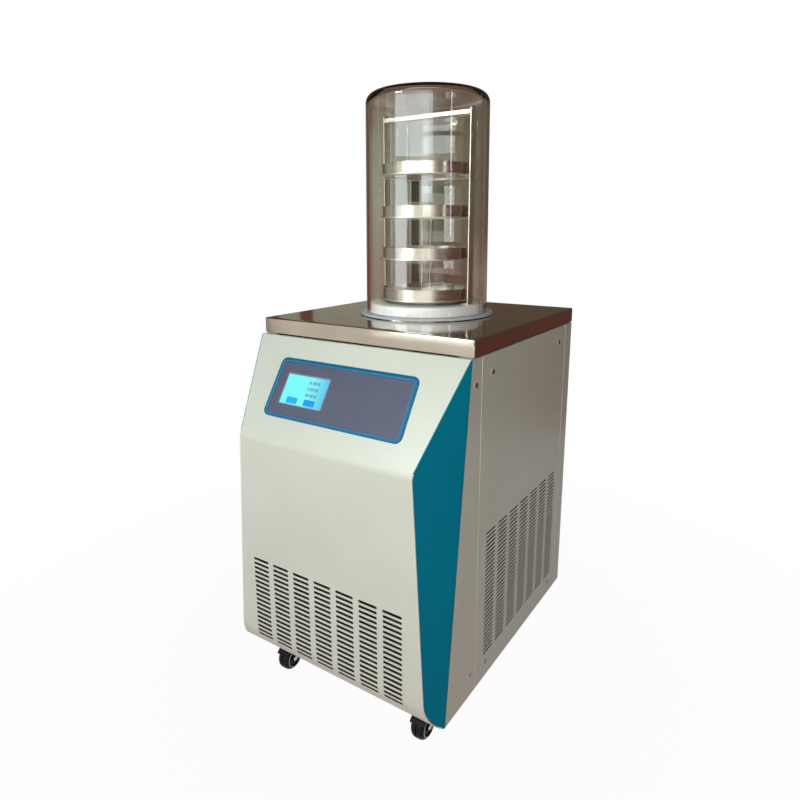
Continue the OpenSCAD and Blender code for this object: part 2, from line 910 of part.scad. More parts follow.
// One closed ring of points round the coil's tube at a step along it.
function coil_ring(step) = [
    for (side = [0 : coil_sides - 1])
        let (turn = 180 + step * 360 / coil_steps, a = side * 360 / coil_sides)
        [
            (coil_mid_r + coil_r * cos(a)) * cos(turn), (coil_mid_r + coil_r * cos(a)) * sin(turn),
            coil_low + step / coil_steps * coil_pitch + coil_r * sin(a)
        ]
];

module evaporator_coil() {
    last = coil_turns * coil_steps;
    points = [for (step = [0 : last], p = coil_ring(step)) p];
    sides = [
        for (step = [0 : last - 1], side = [0 : coil_sides - 1])
            let (a = step * coil_sides + side, b = step * coil_sides + (side + 1) % coil_sides)
            [a, a + coil_sides, b + coil_sides, b]
    ];
    ends = [
        [for (side = [0 : coil_sides - 1]) side],
        [for (side = [0 : coil_sides - 1]) (last + 1) * coil_sides - 1 - side]
    ];
    color("#b87346") in_cabinet() polyhedron(points = points, faces = concat(sides, ends));
}

module trap_insulation() {
    pocket_low = coil_low - coil_r - 1;
    pocket_high = coil_high + coil_r + 1;
    color("#d8c88f") in_cabinet() difference() {
        rotate_extrude($fn = 160) polygon([
            [drain_pipe_r + fit_gap, foam_floor], [foam_out_r, foam_floor], [foam_out_r, foam_top],
            [trap_out_r + fit_gap, foam_top], [trap_out_r + fit_gap, pocket_high],
            [foam_in_r, pocket_high], [foam_in_r, pocket_low], [trap_out_r + fit_gap, pocket_low],
            [trap_out_r + fit_gap, trap_floor - trap_wall],
            [drain_pipe_r + fit_gap, trap_floor - trap_wall]
        ]);
        translate([0, 0, port_h]) rod_y(port_pipe_r + fit_gap, 0, foam_out_r + 5);
        translate([-coil_mid_r, 0, coil_low]) rod_y(line_r + fit_gap, 0, foam_out_r);
        translate([-coil_mid_r, 0, coil_high]) rod_y(line_r + fit_gap, -foam_out_r, 0);
    }
}

module vacuum_pipe() {
    color("#c4c4c0") in_cabinet() translate([0, 0, port_h]) difference() {
        union() {
            difference() {
                rod_y(port_pipe_r, trap_r / 2, port_end);
                translate([0, 0, -2 * port_pipe_r])
                    cylinder(r = trap_out_r, h = 4 * port_pipe_r, $fn = 160);
            }
            rod_y(port_flange_r, port_end - port_flange_t, port_end);
        }
        rod_y(port_bore_r, 0, port_end + 1);
    }
}

drain_route = [
    [0, 0, trap_floor - trap_wall],
    [0, 0, drain_h],
    [0, rear_y, drain_h]
];

module drain_pipe() {
    color("#c4c4c0") in_cabinet() difference() {
        pipe(drain_route, drain_pipe_r, drain_bend);
        pipe(
            [drain_route[0] + [0, 0, 1], drain_route[1], drain_route[2] + [0, 1, 0]],
            drain_bore_r, drain_bend
        );
    }
}

// Angle valve: in along Y, out downwards through a ribbed nozzle, its stem from above.
module drain_valve() {
    color("#c9a55a") in_cabinet() translate([0, 0, drain_h]) difference() {
        union() {
            rod_y(valve_r, rear_y, valve_end);
            translate([0, valve_mid, 0]) {
                cylinder(r = valve_r - 2, h = valve_r + 2);
                translate([0, 0, -valve_r - nozzle_l])
                    cylinder(r = drain_pipe_r, h = valve_r + nozzle_l);
                for (rib = [0 : 2]) {
                    translate([0, 0, -valve_r - nozzle_l + 1 + rib * 4.5])
                        cylinder(r1 = drain_pipe_r, r2 = drain_pipe_r + 1.2, h = 3);
                }
            }
        }
        rod_y(drain_bore_r, rear_y - 1, valve_mid);
        translate([0, valve_mid, -valve_r - nozzle_l - 1])
            cylinder(r = drain_bore_r, h = valve_r + nozzle_l + 1);
        translate([0, valve_mid, valve_r + 2 - stem_sink])
            cylinder(r = stem_r + run_gap, h = stem_sink + 1);
    }
}

module drain_lever() {
    color("#a02c26") in_cabinet() translate([0, valve_mid, drain_h + valve_r + 2]) {
        translate([0, 0, 0.4 - stem_sink]) cylinder(r = stem_r, h = stem_sink + 2);
        translate([0, 0, 1]) cylinder(r = valve_r - 2, h = lever_t + 1);
        block(-lever_l, 2, -lever_w / 2, lever_w / 2, 1, 1 + lever_t);
        translate([-lever_l, 0, 1]) cylinder(r = lever_w / 2, h = lever_t);
    }
}

// ---- Refrigeration ----

module compressor() {
    color("#2b2b2b") in_cabinet() translate([compressor_x, compressor_y, 0]) {
        translate([0, 0, shell_z - 0.5]) rotate_extrude($fn = 128) intersection() {
            translate([0, (compressor_h + 0.5) / 2])
                round_rect(2 * compressor_r, compressor_h + 0.5, compressor_round);
            square([compressor_r + 1, compressor_h + 1]);
        }
        translate([0, 0, shell_z + compressor_h * 0.55]) cylinder(r = compressor_r + 3, h = 4, $fn = 128);
        difference() {
            translate([0, 0, compressor_z])
                linear_extrude(height = foot_plate_t) round_rect(foot_plate, foot_plate, 18);
            at_feet() translate([0, 0, compressor_z - 1]) cylinder(r = 4.5, h = foot_plate_t + 2);
        }
        block(compressor_r - 14, compressor_r + 22, -terminal_w / 2, terminal_w / 2, terminal_z,
              terminal_z + terminal_h);
    }
    color("#2b2b2b") in_cabinet() {
        for (p = [[suction_x, compressor_y], [discharge_x, discharge_y]]) {
            translate([p[0], p[1], compressor_top - 12])
                cylinder(r = stub_r, h = stub_top - compressor_top + 12);
        }
    }
}

module at_feet() {
    reach = foot_plate / 2 - foot_inset;
    for (sx = [-1, 1], sy = [-1, 1]) translate([sx * reach, sy * reach, 0]) children();
}

module compressor_feet() {
    color("#1d1d1d") in_cabinet() translate([compressor_x, compressor_y, 0]) at_feet() {
        translate([0, 0, pan_t]) cylinder(r = foot_r, h = foot_h);
        translate([0, 0, pan_t]) cylinder(r = 4, h = foot_h + foot_plate_t + 2);
        translate([0, 0, shell_z]) cylinder(r = 8, h = 4);
    }
}

function tube_z(row) = condenser_z + (row + 0.5) * tube_pitch;

// Corners of the condenser's tube from its top row down, in and out at the left.
tube_reach = condenser_w / 2 + tube_pitch / 2;
tube_route = concat(
    [[-tube_end, condenser_y, tube_z(tube_rows - 1)]],
    [
        for (turn = [0 : tube_rows - 2], drop = [0, 1])
            [(turn % 2 == 0 ? 1 : -1) * tube_reach, condenser_y, tube_z(tube_rows - 1 - turn - drop)]
    ],
    [[-tube_end, condenser_y, tube_z(0)]]
);

module condenser() {
    color("#8d8f90") in_cabinet() {
        pipe(tube_route, tube_r, line_bend);
        for (fin = [1 : fin_count]) {
            translate([-condenser_w / 2 + fin * condenser_w / (fin_count + 1), 0, 0])
                finned_plate(fin_t, condenser_d - 2, condenser_z + 1, condenser_top - 1);
        }
        for (side = [-1, 1]) {
            translate([side * (condenser_w - end_plate_t) / 2, 0, 0])
                finned_plate(end_plate_t, condenser_d, pan_t, condenser_top);
        }
    }
}

// Upright plate across the condenser's rows of tube, which pass through it.
module finned_plate(thick, depth, z0, z1) {
    translate([-thick / 2, condenser_y, 0])
        rotate([90, 0, 90])
            linear_extrude(height = thick) difference() {
                translate([-depth / 2, z0]) square([depth, z1 - z0]);
                for (row = [0 : tube_rows - 1]) translate([0, tube_z(row)]) circle(r = tube_r + 0.4);
            }
}

module fan_shroud() {
    x = condenser_w / 2;
    front = -condenser_back;
    color("#5d6164") in_cabinet() {
        difference() {
            block(-x, x, front, shroud_back, condenser_z, condenser_top);
            block(-x + shroud_t, x - shroud_t, front - 1, shroud_back - shroud_t,
                  condenser_z + shroud_t, condenser_top - shroud_t);
            translate([0, 0, fan_z]) rod_y(fan_r + fan_gap, front, shroud_back + 1);
        }
        translate([0, 0, fan_z]) difference() {
            rod_y(fan_r + fan_gap + shroud_t, shroud_back - shroud_t, shroud_back + collar_d);
            rod_y(fan_r + fan_gap, front, shroud_back + collar_d + 1);
        }
        both_sides() {
            x0 = bracket_x - bracket_w / 2;
            x1 = x0 + bracket_w;
            y1 = motor_y;
            block(x0, x1, y1 - bracket_t, y1, condenser_z, condenser_top);
            block(x0, x1, shroud_back - shroud_t, y1, condenser_z, condenser_z + bracket_t);
            block(x0, x1, shroud_back - shroud_t, y1, condenser_top - bracket_t, condenser_top);
        }
    }
}

module fan_motor() {
    color("#3a3d40") in_cabinet() translate([0, 0, fan_z]) difference() {
        union() {
            rod_y(motor_r, motor_y, motor_y + motor_d);
            rod_y(motor_r - 12, motor_y + motor_d - 1, motor_y + motor_d + 8);
        }
        rod_y(shaft_r + run_gap, motor_y - 1, motor_y + shaft_sink + 1);
    }
}

module fan_rotor() {
    color("#26282a") in_cabinet() translate([0, hub_y, fan_z]) rotate([-90, 0, 0]) {
        difference() {
            translate([0, 0, -hub_d / 2]) cylinder(r = hub_r, h = hub_d);
            translate([0, 0, 3 - hub_d / 2 - 20]) cylinder(r = hub_r - 6, h = 20);
        }
        cylinder(r = shaft_r, h = motor_y + shaft_sink - hub_y);
        intersection() {
            for (blade = [0 : blade_count - 1]) {
                rotate([0, 0, blade * 360 / blade_count])
                    translate([hub_r - 3, 0, 0])
                        rotate([blade_tilt, 0, 0])
                            translate([0, -blade_chord / 2, -blade_t / 2])
                                cube([fan_r, blade_chord, blade_t]);
            }
            cylinder(r = fan_r, h = 2 * blade_chord, center = true, $fn = 128);
        }
    }
}

module filter_drier() {
    color("#a8683f") in_cabinet() translate([suction_x, drier_y, drier_z]) rotate_extrude()
        polygon([
            [0, 0], [line_r + 1, 0], [drier_r, 12], [drier_r, drier_h - 12], [line_r + 1, drier_h],
            [0, drier_h]
        ]);
}

module suction_line() {
    color("#b87346") in_cabinet() pipe([
        [suction_x, line_gap, coil_low],
        [suction_x, foam_out_r + line_side, coil_low],
        [suction_x, foam_out_r + line_side, stub_top + line_rise],
        [suction_x, compressor_y, stub_top + line_rise],
        [suction_x, compressor_y, stub_top]
    ], line_r, line_bend);
}

module discharge_line() {
    top = tube_z(tube_rows - 1);
    color("#b87346") in_cabinet() pipe([
        [discharge_x, discharge_y, stub_top],
        [discharge_x, discharge_y, over_z],
        [over_x, discharge_y, over_z],
        [over_x, condenser_y, over_z],
        [over_x, condenser_y, top],
        [-tube_end, condenser_y, top]
    ], line_r, line_bend);
}

module liquid_line() {
    low = tube_z(0);
    color("#b87346") in_cabinet() pipe([
        [-tube_end, condenser_y, low],
        [under_x, condenser_y, low],
        [under_x, drier_y, low],
        [under_x, drier_y, drier_z - 30],
        [suction_x, drier_y, drier_z - 30],
        [suction_x, drier_y, drier_z]
    ], line_r, line_bend);
}

module expansion_line() {
    color("#b87346") in_cabinet() pipe([
        [suction_x, drier_y, drier_z + drier_h],
        [suction_x, drier_y, coil_high],
        [suction_x, -line_gap, coil_high]
    ], line_r, line_bend);
}

// ---- Electrics ----

module controller() {
    color("#3b3f44") in_cabinet() on_slant(overlay_up) {
        translate([0, 0, -sheet - controller_d])
            linear_extrude(height = controller_d) round_rect(controller_w, controller_h, 4);
        translate([0, 0, -sheet - controller_d - 8])
            linear_extrude(height = 9) round_rect(controller_w * 0.4, 20, 2);
    }
}

module power_supply() {
    x = supply_at[0];
    y = supply_at[1];
    color("#a3a6a8") in_cabinet() {
        block(x, x + supply_size[0], y, y + supply_size[1], pan_t, pan_t + supply_size[2]);
        for (bar_y = [y + supply_bar, y + supply_size[1] - 2 * supply_bar])
            block(
                x - supply_ear, x + supply_size[0] + supply_ear, bar_y, bar_y + supply_bar,
                pan_t, pan_t + 2
            );
        block(x + 10, x + supply_size[0] - 10, y - 10, y + 1, pan_t + 12, pan_t + 26);
    }
}

module panel_bezel() {
    color("#04688f") in_cabinet() on_slant(0) difference() {
        union() {
            translate([0, bezel_up, 0])
                linear_extrude(height = bezel_t - 1) round_rect(bezel_w, bezel_h, bezel_r);
            translate([0, bezel_up, 0])
                linear_extrude(height = bezel_t) round_rect(bezel_w - 2, bezel_h - 2, bezel_r - 1);
        }
        translate([overlay_x, overlay_up, -1])
            linear_extrude(height = bezel_t + 2) round_rect(overlay_w, overlay_h, 4);
        translate([overlay_x, overlay_up, bezel_t - 1])
            linear_extrude(height = 2) round_rect(overlay_w + 2.4, overlay_h + 2.4, 5);
    }
}

module panel_overlay() {
    color("#636a7e") in_cabinet() on_slant(overlay_up) difference() {
        translate([overlay_x, 0, 0])
            linear_extrude(height = bezel_t - 1.5) round_rect(overlay_w - 0.4, overlay_h - 0.4, 3.8);
        translate([-screen_left, 0, -1])
            linear_extrude(height = bezel_t) round_rect(screen_w + 0.4, screen_h + 0.4, 1);
    }
}

module touch_screen() {
    color("#80ffff") in_cabinet() on_slant(overlay_up)
        translate([-screen_left, 0, -sheet])
            linear_extrude(height = sheet + bezel_t - 1.9) round_rect(screen_w, screen_h, 0.8);
}

// Mains inlet and switch module in the rear panel.
module power_entry() {
    color("#222222") in_cabinet() difference() {
        union() {
            block(entry_x - entry_w / 2, entry_x + entry_w / 2, rear_y, entry_face,
                  entry_z - entry_h / 2, entry_z + entry_h / 2);
            block(entry_x - entry_w / 2 + 3, entry_x + entry_w / 2 - 3, rear_y - entry_d, rear_y + 1,
                  entry_z - entry_h / 2 + 3, entry_z + entry_h / 2 - 3);
        }
        block(entry_x - inlet_w / 2, entry_x + inlet_w / 2, entry_face - inlet_d, entry_face + 1,
              inlet_z - inlet_h / 2, inlet_z + inlet_h / 2);
        translate([entry_x, rocker_pivot_y, rocker_z]) {
            w = rocker_w / 2 + fit_gap;
            rod_x(rocker_r + fit_gap, rocker_w + 2 * fit_gap);
            block(-w, w, 0, 5, -rocker_r - fit_gap, rocker_r + fit_gap);
            rod_x(rocker_pin_r + run_gap, rocker_w + 2 * rocker_pin_l + 2 * fit_gap);
        }
    }
}

module inlet_pins() {
    color("#c8c2a8") in_cabinet() translate([entry_x, entry_face - inlet_d, inlet_z]) {
        for (side = [-1, 1]) block(side * 7 - 1, side * 7 + 1, 0, 15, -4, 0);
        block(-1, 1, 0, 15, 1, 5);
    }
}

module switch_rocker() {
    color("#161616") in_cabinet() translate([entry_x, rocker_pivot_y, rocker_z]) {
        rotate([rocker_tilt, 0, 0]) intersection() {
            rod_x(rocker_r, rocker_w);
            translate([-rocker_w / 2, 0, 0])
                rotate([90, 0, 90])
                    linear_extrude(height = rocker_w)
                        polygon([[-7, -14], [3.2, -14], [1.6, 0], [3.2, 14], [-7, 14]]);
        }
        rod_x(rocker_pin_r, rocker_w + 2 * rocker_pin_l);
    }
}

// Outlet for the vacuum pump's plug.
module pump_socket() {
    w = entry_w / 2;
    h = socket_h / 2;
    color("#222222") in_cabinet() translate([entry_x, 0, socket_z]) difference() {
        union() {
            block(-w, w, rear_y, entry_face, -h, h);
            block(8 - w, w - 8, rear_y - 24, rear_y + 1, 3 - h, h - 3);
        }
        for (side = [-1, 1]) {
            block(side * 7 - 1.4, side * 7 + 1.4, entry_face - 17, entry_face + 1, -5, 0);
        }
        block(-1.4, 1.4, entry_face - 17, entry_face + 1, 1, 6);
    }
}

// ---- Casters ----

caster_places = [
    [-caster_x, -caster_front], [caster_x, -caster_front], [-caster_x, caster_rear],
    [caster_x, caster_rear]
];

module at_caster(n) {
    in_cabinet() translate([caster_places[n][0], caster_places[n][1], 0]) children();
}

// Mounting plates with their races and king pins.
module caster_plates() {
    color("#8c8c88") for (n = [0 : 3]) at_caster(n) {
        translate([0, 0, -caster_plate_t])
            linear_extrude(height = caster_plate_t) round_rect(caster_plate, caster_plate, 5);
        translate([0, 0, -caster_plate_t - race_t]) cylinder(r = race_r, h = race_t + 0.5);
        translate([0, 0, king_low + caster_gap]) cylinder(r = king_r, h = -king_low - 1);
    }
}

// Neck, web, hood and axle pin of a twin-wheel caster.
module caster_body(n) {
    color("#1c1c1c") at_caster(n) {
        difference() {
            union() {
                translate([0, 0, neck_low]) cylinder(r = neck_r, h = neck_top - neck_low);
                block(-web_t / 2, web_t / 2, -neck_r, neck_r - 1, axle_z, neck_low + 2);
                translate([0, -caster_trail, axle_z]) {
                    rod_x(wheel_r - 2, web_t);
                    intersection() {
                        union() {
                            rod_x(wheel_r + hood_gap + 0.5, web_t);
                            difference() {
                                rod_x(wheel_r + hood_gap + hood_t, 2 * caster_half_w);
                                rod_x(wheel_r + hood_gap, 2 * caster_half_w + 2);
                            }
                        }
                        block(
                            -2 * caster_half_w, 2 * caster_half_w, -2 * wheel_r, 2 * wheel_r,
                            hood_low - axle_z, 2 * wheel_r
                        );
                    }
                }
            }
            translate([0, 0, king_low]) cylinder(r = king_r + run_gap, h = 40);
        }
        translate([0, -caster_trail, axle_z]) {
            face = caster_half_w - boss_drop;
            rod_x(axle_r, 2 * (face + axle_head_gap) + 1);
            both_sides() {
                x = face + axle_head_gap;
                translate([x, 0, 0]) rotate([0, 90, 0]) cylinder(r = axle_head_r, h = axle_head_t);
            }
        }
    }
}

module caster_body_1() caster_body(0);
module caster_body_2() caster_body(1);
module caster_body_3() caster_body(2);
module caster_body_4() caster_body(3);

// Right-hand wheel of a caster about its axle: crowned tread, dished face, hub boss.
module wheel_half() {
    rotate([0, 90, 0]) rotate_extrude($fn = 96) difference() {
        union() {
            translate([0, wheel_in]) square([wheel_r, crown_x - wheel_in]);
            intersection() {
                translate([wheel_r - crown_r, crown_x]) circle(r = crown_r, $fn = 128);
                translate([0, crown_x - 0.5]) square([wheel_r, crown_run + 0.5]);
            }
        }
        translate([-1, wheel_in - 1]) square([axle_r + run_gap + 1, caster_half_w + 2]);
        translate([boss_r, caster_half_w - dish_d]) square([dish_r - boss_r, dish_d + 1]);
        translate([-1, caster_half_w - boss_drop]) square([boss_r + 2, boss_drop + 1]);
    }
}

module wheel(n, side) {
    color("#141414") at_caster(n) translate([0, -caster_trail, axle_z])
        mirror([side < 0 ? 1 : 0, 0, 0]) wheel_half();
}

module wheel_1_left() wheel(0, -1);
module wheel_1_right() wheel(0, 1);
module wheel_2_left() wheel(1, -1);
module wheel_2_right() wheel(1, 1);
module wheel_3_left() wheel(2, -1);
module wheel_3_right() wheel(2, 1);
module wheel_4_left() wheel(3, -1);
module wheel_4_right() wheel(3, 1);

// ---- Nodes ----

base_frame();
front_cover();
cheek_left();
cheek_right();
side_panel_left();
side_panel_right();
rear_panel();
vent_screens();
panel_screws();
top_plate();
seat_flange();
seal_ring();
support_ring();
drum();
rack_frame();
rack_shelves();
tray_1();
tray_2();
tray_3();
tray_4();
cold_trap();
evaporator_coil();
trap_insulation();
compressor();
compressor_feet();
condenser();
fan_shroud();
fan_motor();
fan_rotor();
filter_drier();
suction_line();
discharge_line();
liquid_line();
expansion_line();
vacuum_pipe();
drain_pipe();
drain_valve();
drain_lever();
controller();
power_supply();
panel_bezel();
panel_overlay();
touch_screen();
power_entry();
inlet_pins();
switch_rocker();
pump_socket();
caster_plates();
caster_body_1();
caster_body_2();
caster_body_3();
caster_body_4();
wheel_1_left();
wheel_1_right();
wheel_2_left();
wheel_2_right();
wheel_3_left();
wheel_3_right();
wheel_4_left();
wheel_4_right();
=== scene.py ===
import math

import bpy
from mathutils import Matrix, Vector


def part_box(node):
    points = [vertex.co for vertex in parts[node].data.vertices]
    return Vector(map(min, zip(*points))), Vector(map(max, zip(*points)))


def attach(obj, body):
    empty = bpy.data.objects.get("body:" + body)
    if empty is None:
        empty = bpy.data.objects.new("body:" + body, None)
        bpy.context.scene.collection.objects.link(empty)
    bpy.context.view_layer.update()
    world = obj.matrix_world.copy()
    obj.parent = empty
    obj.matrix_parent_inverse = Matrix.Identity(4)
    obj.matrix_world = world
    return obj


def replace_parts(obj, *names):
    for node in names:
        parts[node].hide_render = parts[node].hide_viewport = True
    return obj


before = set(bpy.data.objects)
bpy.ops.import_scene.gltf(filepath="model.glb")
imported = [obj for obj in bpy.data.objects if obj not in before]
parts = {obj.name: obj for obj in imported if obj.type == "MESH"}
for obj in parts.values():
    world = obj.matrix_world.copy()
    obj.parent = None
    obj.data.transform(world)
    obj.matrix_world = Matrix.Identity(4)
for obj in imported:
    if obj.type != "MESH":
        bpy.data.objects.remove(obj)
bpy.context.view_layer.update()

# The cabinet's lower edge and the drum's axis in the frame, in metres.
EDGE_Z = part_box("front_cover")[0][2]
AXIS_Y = (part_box("drum")[0][1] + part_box("drum")[1][1]) / 2

# The control face: its lower corner in millimetres, and its slope above the horizontal.
FACE_FOOT = (-354.0, 458.0)
FACE_TILT = math.atan2(170.5, 110.0)

# The worktop's upper face and the seat's thickness, in millimetres.
TOP_Z = 660.0
SEAT_T = 1.5


def at(x, y, z):
    """A point given in millimetres from the drum's axis and the cabinet's lower edge."""
    return Vector((x / 1000, y / 1000 + AXIS_Y, z / 1000 + EDGE_Z))


def on_face(x, up, out):
    """A point in millimetres on the control face: across, up the slope, and out of it."""
    c, s = math.cos(FACE_TILT), math.sin(FACE_TILT)
    return at(x, FACE_FOOT[0] + up * c - out * s, FACE_FOOT[1] + up * s + out * c)


# ---- Camera ----

def aim_camera():
    turn, down = math.radians(33.62), math.radians(12.15)
    forward = Vector((-math.sin(turn) * math.cos(down), math.cos(turn) * math.cos(down), -math.sin(down)))
    right = Vector((0.83304, 0.55321, -0.0025)).normalized()
    up = right.cross(forward).normalized()
    right = forward.cross(up)
    lens = bpy.data.cameras.new("studio_camera")
    camera = bpy.data.objects.new("studio_camera", lens)
    bpy.context.scene.collection.objects.link(camera)
    turned = Matrix((right, up, -forward)).transposed().to_4x4()
    camera.matrix_world = Matrix.Translation(at(669.5, -1093.1, 835.4)) @ turned
    lens.sensor_width = 36
    lens.lens = 27.58
    lens.shift_x = -0.00495
    lens.shift_y = -0.05126
    lens.clip_end = 50
    bpy.context.scene.camera = camera


aim_camera()


# ---- Colours, nodes and finishes ----

def linear(hex_colour):
    """sRGB hex to linear RGBA."""
    channels = [int(hex_colour[i:i + 2], 16) / 255 for i in (1, 3, 5)]
    return [c / 12.92 if c <= 0.04045 else ((c + 0.055) / 1.055) ** 2.4 for c in channels] + [1.0]


def per_mm(size):
    """Texture scale whose features are about size millimetres across, in object space."""
    return 1000 / size


def add(material, kind, settings=None, inputs=None):
    """Adds a node, sets its properties, then sets or links its inputs."""
    made = material.node_tree.nodes.new("ShaderNode" + kind)
    for name, value in (settings or {}).items():
        setattr(made, name, value)
    for name, value in (inputs or {}).items():
        if isinstance(value, bpy.types.NodeSocket):
            material.node_tree.links.new(value, made.inputs[name])
        else:
            made.inputs[name].default_value = value
    return made


def new_finish(name):
    """An empty node material with its surface shader, and the place on the piece in metres."""
    material = bpy.data.materials.new(name)
    material.use_nodes = True
    material.node_tree.nodes.clear()
    surface = add(material, "BsdfPrincipled")
    out = add(material, "OutputMaterial", inputs={"Surface": surface.outputs["BSDF"]})
    place = add(material, "TexCoord").outputs["Object"]
    return material, surface, place, out


def tint_range(material, factor, low, high, edges=(0.35, 0.65)):
    """Colour between two hex values as factor goes between the edges."""
    ramp = add(material, "ValToRGB", inputs={"Fac": factor})
    for stop, edge, shade in zip(ramp.color_ramp.elements, edges, (low, high)):
        stop.position = edge
        stop.color = linear(shade)
    return ramp.outputs["Color"]


def value_range(material, factor, low, high, start=0.3, end=0.7):
    """Number between low and high as factor goes from start to end."""
    spread = add(material, "MapRange", inputs={
        "Value": factor, "From Min": start, "From Max": end, "To Min": low, "To Max": high})
    return spread.outputs["Result"]


def grain(material, place, size_mm, detail=3.0, stretch=None):
    """Noise factor with features of about size_mm; stretch multiplies the place first."""
    if stretch:
        place = add(material, "Mapping", inputs={"Vector": place, "Scale": stretch}).outputs["Vector"]
    noise = add(material, "TexNoise", inputs={"Vector": place, "Scale": per_mm(size_mm), "Detail": detail})
    return noise.outputs["Fac"]


def raise_bumps(material, surface, height, depth_mm, strength=1.0):
    bump = add(material, "Bump", inputs={
        "Height": height, "Distance": depth_mm / 1000, "Strength": strength})
    material.node_tree.links.new(bump.outputs["Normal"], surface.inputs["Normal"])


def set_surface(surface, **values):
    """Sets or links the shader's inputs; underscores stand for spaces."""
    for name, value in values.items():
        socket = surface.inputs[name.replace("_", " ")]
        if isinstance(value, bpy.types.NodeSocket):
            surface.id_data.links.new(value, socket)
        else:
            socket.default_value = value


def powder_coat(name, low, high, rough=0.42, peel=1.0, gloss=0.5):
    """Polyester powder baked on steel sheet: satin, with a fine orange peel that softens highlights."""
    material, surface, place, _ = new_finish(name)
    broad = grain(material, place, 160, 2.0)
    speck = grain(material, place, 1.6, 2.0)
    set_surface(surface, Base_Color=tint_range(material, broad, low, high),
                Roughness=value_range(material, speck, rough - 0.05, rough + 0.07), IOR=1.5,
                Specular_IOR_Level=gloss)
    raise_bumps(material, surface, speck, 0.05 * peel, 0.35)
    return material


def steel(name, low, high, rough, streak=(1, 1, 1), streak_mm=6.0, wave=0.0):
    """Stainless sheet: neutral mirror-like sheen broken by faint rolling or polishing streaks."""
    material, surface, place, _ = new_finish(name)
    lines = grain(material, place, streak_mm, 4.0, streak)
    cloud = grain(material, place, 90, 2.0)
    set_surface(surface, Metallic=1.0, Base_Color=tint_range(material, cloud, low, high),
                Roughness=value_range(material, lines, rough * 0.75, rough * 1.3))
    if wave:
        raise_bumps(material, surface, cloud, wave, 0.5)
    return material


def moulded(name, low, high, rough, texture_mm=0.9, depth_mm=0.04, coat=0.0, gloss=0.5):
    """Injection-moulded plastic or cast rubber: even colour, faint mould texture."""
    material, surface, place, _ = new_finish(name)
    speck = grain(material, place, texture_mm, 2.0)
    cloud = grain(material, place, 35, 2.0)
    set_surface(surface, Base_Color=tint_range(material, cloud, low, high),
                Roughness=value_range(material, speck, rough - 0.05, rough + 0.06), IOR=1.49,
                Specular_IOR_Level=gloss)
    if coat:
        set_surface(surface, Coat_Weight=coat, Coat_Roughness=0.08)
    raise_bumps(material, surface, speck, depth_mm, 0.4)
    return material


def clear_acrylic(name, tint, murk):
    """Cast acrylic tube: clear and faintly smoky, darker along the wall; lamps shine through it."""
    material, surface, place, out = new_finish(name)
    smear = grain(material, place, 45, 3.0, (1, 1, 0.25))
    shade = add(material, "LightPath").outputs["Is Shadow Ray"]
    set_surface(surface, Base_Color=linear(tint), Transmission_Weight=1.0, IOR=1.49, Specular_IOR_Level=1.0,
                Roughness=value_range(material, smear, 0.0, 0.02),
                Alpha=value_range(material, shade, 1.0, 0.05, 0.0, 1.0))
    haze = add(material, "VolumeAbsorption", inputs={"Color": linear(murk), "Density": 3.0})
    material.node_tree.links.new(haze.outputs["Volume"], out.inputs["Volume"])
    return material


def lit_display(name, low, high, edges, strength=0.95):
    """Backlit liquid crystal: glows evenly, one colour turning into another across the screen."""
    material, surface, place, _ = new_finish(name)
    near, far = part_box("touch_screen")
    across = add(material, "SeparateXYZ", inputs={"Vector": place}).outputs["X"]
    along = value_range(material, across, 0.0, 1.0, near[0], far[0])
    set_surface(surface, Base_Color=linear("#0a1a1e"), Roughness=0.5, Specular_IOR_Level=0.2,
                Emission_Color=tint_range(material, along, low, high, edges), Emission_Strength=strength)
    return material


def dress(material, *names):
    for name in names:
        slots = parts[name].data.materials
        slots.clear()
        slots.append(material)


cream = powder_coat("cream_powder_coat", "#d2d9c9", "#d6ddcd", 0.32)
# Dark paint for the level faces inside the punched slots: painted shade in the slots.
slot_shade_paint = powder_coat("painted_shade_in_slots", "#3c3b36", "#45443e", 0.7, gloss=0.1)
teal = powder_coat("teal_powder_coat", "#00809c", "#0084a1", 0.5, gloss=0.06)
frame_grey = powder_coat("frame_powder_coat", "#8d8d86", "#999992", 0.5)
polished = steel("polished_stainless_sheet", "#b4aea4", "#bcb7ae", 0.1, (1, 14, 1), 5.0, 0.06)
bright_steel = steel("rolled_stainless_strip", "#c2bfb8", "#cbc8c2", 0.16, (14, 1, 1))
tray_steel = steel("pressed_stainless_tray", "#cec9c0", "#d3cfc7", 0.2, (1, 1, 10), 60.0)
rack_steel = steel("brushed_stainless_strip", "#c0bab1", "#cac5bd", 0.36, (14, 1, 1))
chrome = steel("polished_chrome", "#c9c6c3", "#d3d0cd", 0.16)
plated = steel("zinc_plated_screws", "#8f8f8a", "#a3a39e", 0.28)
acrylic = clear_acrylic("cast_acrylic", "#fdfdfa", "#9a968a")
white_plastic = moulded("turned_white_acetal", "#f3f3f1", "#f9f9f7", 0.3, coat=0.6)
silicone = moulded("moulded_grey_silicone", "#b0b4b4", "#babebe", 0.4)
rubber = moulded("moulded_black_rubber", "#232120", "#2b2826", 0.6, 0.6)
mat_fibre = moulded("filter_mat_fibre", "#5d6056", "#6d7065", 0.9, 2.4, 0.3)
# Near-black cloth behind the front slots: its darkness is painted shade for the cabinet's inside.
shade_dark_filter_cloth = moulded("filter_cloth_dark_as_slot_shade", "#34322d", "#3b3933", 0.95, 1.6, 0.2, gloss=0.1)
black_plastic = moulded("black_nylon", "#060606", "#0b0b0b", 0.5, gloss=0.15)
tread = moulded("black_polyurethane_tread", "#0a0807", "#110e0d", 0.4, gloss=0.2)
red_plastic = moulded("dipped_red_vinyl", "#8f211c", "#a32a24", 0.4)
bezel_blue = moulded("moulded_blue_abs", "#006790", "#006c98", 0.42, gloss=0.35)
